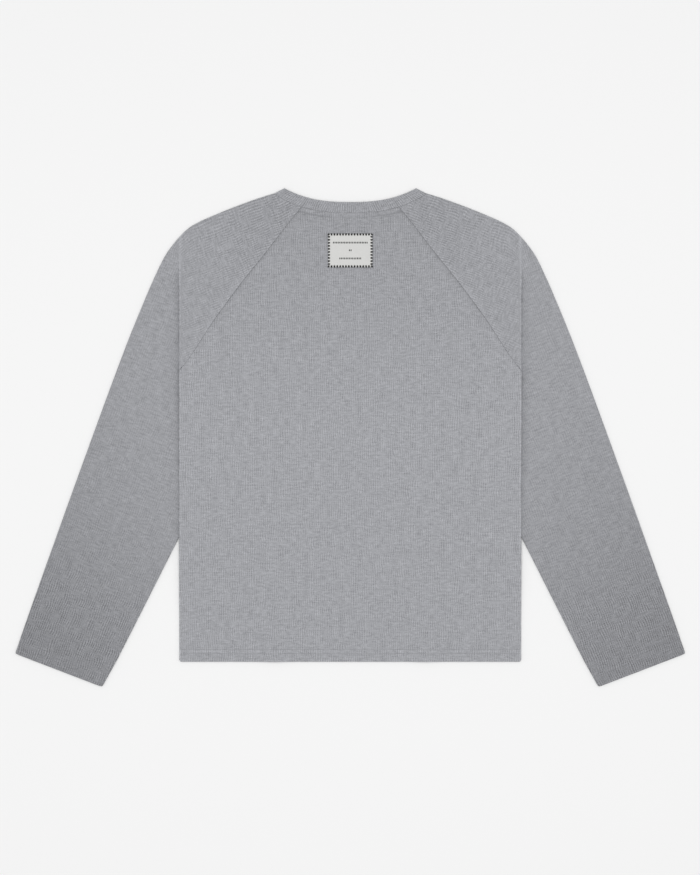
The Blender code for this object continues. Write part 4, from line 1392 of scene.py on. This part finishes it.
class KNITTOP_OT_stitching(bpy.types.Operator):
    """Lays the coverstitch threads of the hem, the cuffs and the neck"""
    bl_idname = "knit_top.stitching"
    bl_label = "Stitching"

    def execute(self, context):
        cloth = context.scene.knit_top_cloth
        pitch = cloth.stitch / MM
        length, height, arch = COVER_STITCH
        stitch = model_stitch(pitch * length, cloth.thread_width / MM, height, arch)
        thread = thread_material("grey_cotton_thread", cloth.thread, 0.6 * MM)
        hem = []
        for above in HEM_LINES:
            y = HEM_Y + above
            for sign in (1.0, -1.0):
                xs = np.linspace(-BODY_HALF + EDGE_CLEAR, BODY_HALF - EDGE_CLEAR, HEM_POINTS)
                hem += stitches_along([(x, y, on_layer(x, y, sign)) for x in xs], pitch, sign)
        lay_copies("hem_stitches", stitch, hem, thread)
        heading = direction(CUFF_INNER, CUFF_OUTER)
        width = math.dist(CUFF_INNER, CUFF_OUTER)
        for name, way in (("left_cuff_stitches", -1.0), ("right_cuff_stitches", 1.0)):
            cuff = []
            for above in CUFF_LINES:
                ends = (EDGE_CLEAR - above * CUFF_SLANT[0],
                        width - EDGE_CLEAR - above * CUFF_SLANT[1])
                for sign in (1.0, -1.0):
                    line = [step_from(CUFF_INNER, heading, s, above)
                            for s in np.linspace(*ends, CUFF_POINTS)]
                    line = [(x * way, y, on_layer(x * way, y, sign, False)) for x, y in line]
                    cuff += stitches_along(line, pitch, sign)
            lay_copies(name, stitch, cuff, thread)
        neck = []
        for side, sign in (("back", 1.0), ("front", -1.0)):
            reach = RAGLAN_TOP[side][0] - RAGLAN_CLEAR[0]
            xs = np.linspace(-reach, reach, NECK_POINTS)
            line = np.array([(x, neck_seam(side, abs(x))) for x in xs])
            slope = np.gradient(line, axis=0)
            slope /= np.hypot(*slope.T)[:, None]
            shifted = [step_from(spot, ahead, 0.0, -NECK_LINE) for spot, ahead in zip(line, slope)]
            kept = [(x, y, on_layer(x, y, sign)) for x, y in shifted
                    if raglan_distance(side, x, y) > RAGLAN_CLEAR[1]]
            neck += stitches_along(kept, pitch, sign)
        lay_copies("neck_stitches", stitch, neck, thread)
        return {"FINISHED"}


# in metres
TABLE_SIZE = 8.0
TABLE_DROP = 0.0004      # below the cloth, so that the two don't touch
TOP_HEIGHT = 0.003       # of the cloth that the view's width is measured at
CAMERA_ASIDE = -0.0004


class KNITTOP_OT_stage(bpy.types.Operator):
    """Sets the plain table, the soft light and the camera overhead"""
    bl_idname = "knit_top.stage"
    bl_label = "Stage"

    def execute(self, context):
        stage = context.scene.knit_top_stage
        select_only()
        bpy.ops.mesh.primitive_plane_add(size=TABLE_SIZE, location=(0.0, 0.0, -TABLE_DROP))
        table = context.object
        table.name = "table"
        bpy.ops.object.transform_apply(location=True, rotation=True, scale=True)
        paper, _, shader = new_material("matt_paper")
        shader.inputs["Base Color"].default_value = linear(stage.table)
        shader.inputs["Roughness"].default_value = 1.0
        shader.inputs["Specular IOR Level"].default_value = 0.0
        table.data.materials.append(paper)
        sky = bpy.data.worlds.new("studio")
        sky.use_nodes = True
        sky.node_tree.nodes["Background"].inputs[0].default_value = (1.0, 1.0, 1.0, 1.0)
        sky.node_tree.nodes["Background"].inputs[1].default_value = stage.sky
        context.scene.world = sky
        softboxes = [
            # name, place, size, power
            ("overhead_softbox", (0.0, 0.0, 3.4), 4.0, stage.overhead),
            ("left_softbox", (-2.4, 0.0, 1.5), 1.4, stage.side),
            ("right_softbox", (2.4, 0.0, 1.5), 1.4, stage.side),
        ]
        for name, place, size, power in softboxes:
            bpy.ops.object.light_add(type="AREA", location=place)
            light = context.object
            light.name = name
            light.data.size = size
            light.data.energy = power
            away = np.array(place)
            light.rotation_euler = (0.0, math.atan2(away[0], away[2]), 0.0)
        camera = bpy.data.cameras.new("camera")
        camera.lens = stage.lens
        camera.sensor_fit = "HORIZONTAL"
        holder = add_object("camera", camera)
        height = stage.view_width * stage.lens / camera.sensor_width
        holder.location = (CAMERA_ASIDE, 0.0, height + TOP_HEIGHT)
        context.scene.camera = holder
        context.scene.view_settings.view_transform = "Standard"
        return {"FINISHED"}


class KNITTOP_PT_sidebar(bpy.types.Panel):
    """Lists the pieces of the top and their settings"""
    bl_idname = "KNITTOP_PT_sidebar"
    bl_label = "Waffle Knit Top"
    bl_space_type = "VIEW_3D"
    bl_region_type = "UI"
    bl_category = "Knit Top"

    def draw(self, context):
        layout = self.layout
        for operator in OPERATORS:
            layout.operator(operator.bl_idname)
        for group in SETTINGS:
            settings = getattr(context.scene, group)
            for name in settings.__annotations__:
                layout.prop(settings, name)


SETTINGS = {
    "knit_top_cloth": KnitTopCloth,
    "knit_top_label": KnitTopLabel,
    "knit_top_stage": KnitTopStage,
}
OPERATORS = [KNITTOP_OT_body, KNITTOP_OT_sleeves, KNITTOP_OT_neckband, KNITTOP_OT_label,
             KNITTOP_OT_stitching, KNITTOP_OT_stage]


def register():
    for kind in (*SETTINGS.values(), *OPERATORS, KNITTOP_PT_sidebar):
        bpy.utils.register_class(kind)
    for name, kind in SETTINGS.items():
        setattr(bpy.types.Scene, name, PointerProperty(type=kind))


def unregister():
    for name in SETTINGS:
        delattr(bpy.types.Scene, name)
    for kind in reversed((*SETTINGS.values(), *OPERATORS, KNITTOP_PT_sidebar)):
        bpy.utils.unregister_class(kind)


# Each sheet of cloth: piece, node, slot, width and length of its cut, its area, what it lies on,
# and the pieces on it.
SHEETS = [
    ("front_panel_cloth", "front_panel", "waffle_knit", (0.512, 0.645), 0.294, ["table"], []),
    ("back_panel_cloth", "back_panel", "waffle_knit", (0.512, 0.705), 0.305, ["front_panel"],
     ["hem_stitches", "neck_stitches"]),
    ("left_sleeve", "sleeve_left", "waffle_knit", (0.40, 0.76), 0.234, ["table"],
     ["left_cuff_stitches"]),
    ("right_sleeve", "sleeve_right", "waffle_knit", (0.40, 0.76), 0.234, ["table"],
     ["right_cuff_stitches"]),
    ("rib_neckband", "neckband", "rib_knit", (0.54, 0.018), 0.0092, ["table"], []),
    ("woven_label", "label", "woven_label", (0.066, 0.05), 0.0033, ["back_panel"],
     ["label_stitches", "label_bars"]),
]


def declare():
    """Attaches each piece, and the pieces on it, to the root body, and hides the solid it stands
    for.
    """
    for name, node, slot, flat, area, rests_on, on_it in SHEETS:
        piece = bpy.data.objects[name]
        for each in [piece, *(bpy.data.objects[other] for other in on_it)]:
            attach(each, "root")
        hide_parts(node)


def main():
    register()
    for operator in OPERATORS:
        package, name = operator.bl_idname.split(".")
        getattr(getattr(bpy.ops, package), name)()
    declare()


if __name__ == "__main__":
    main()
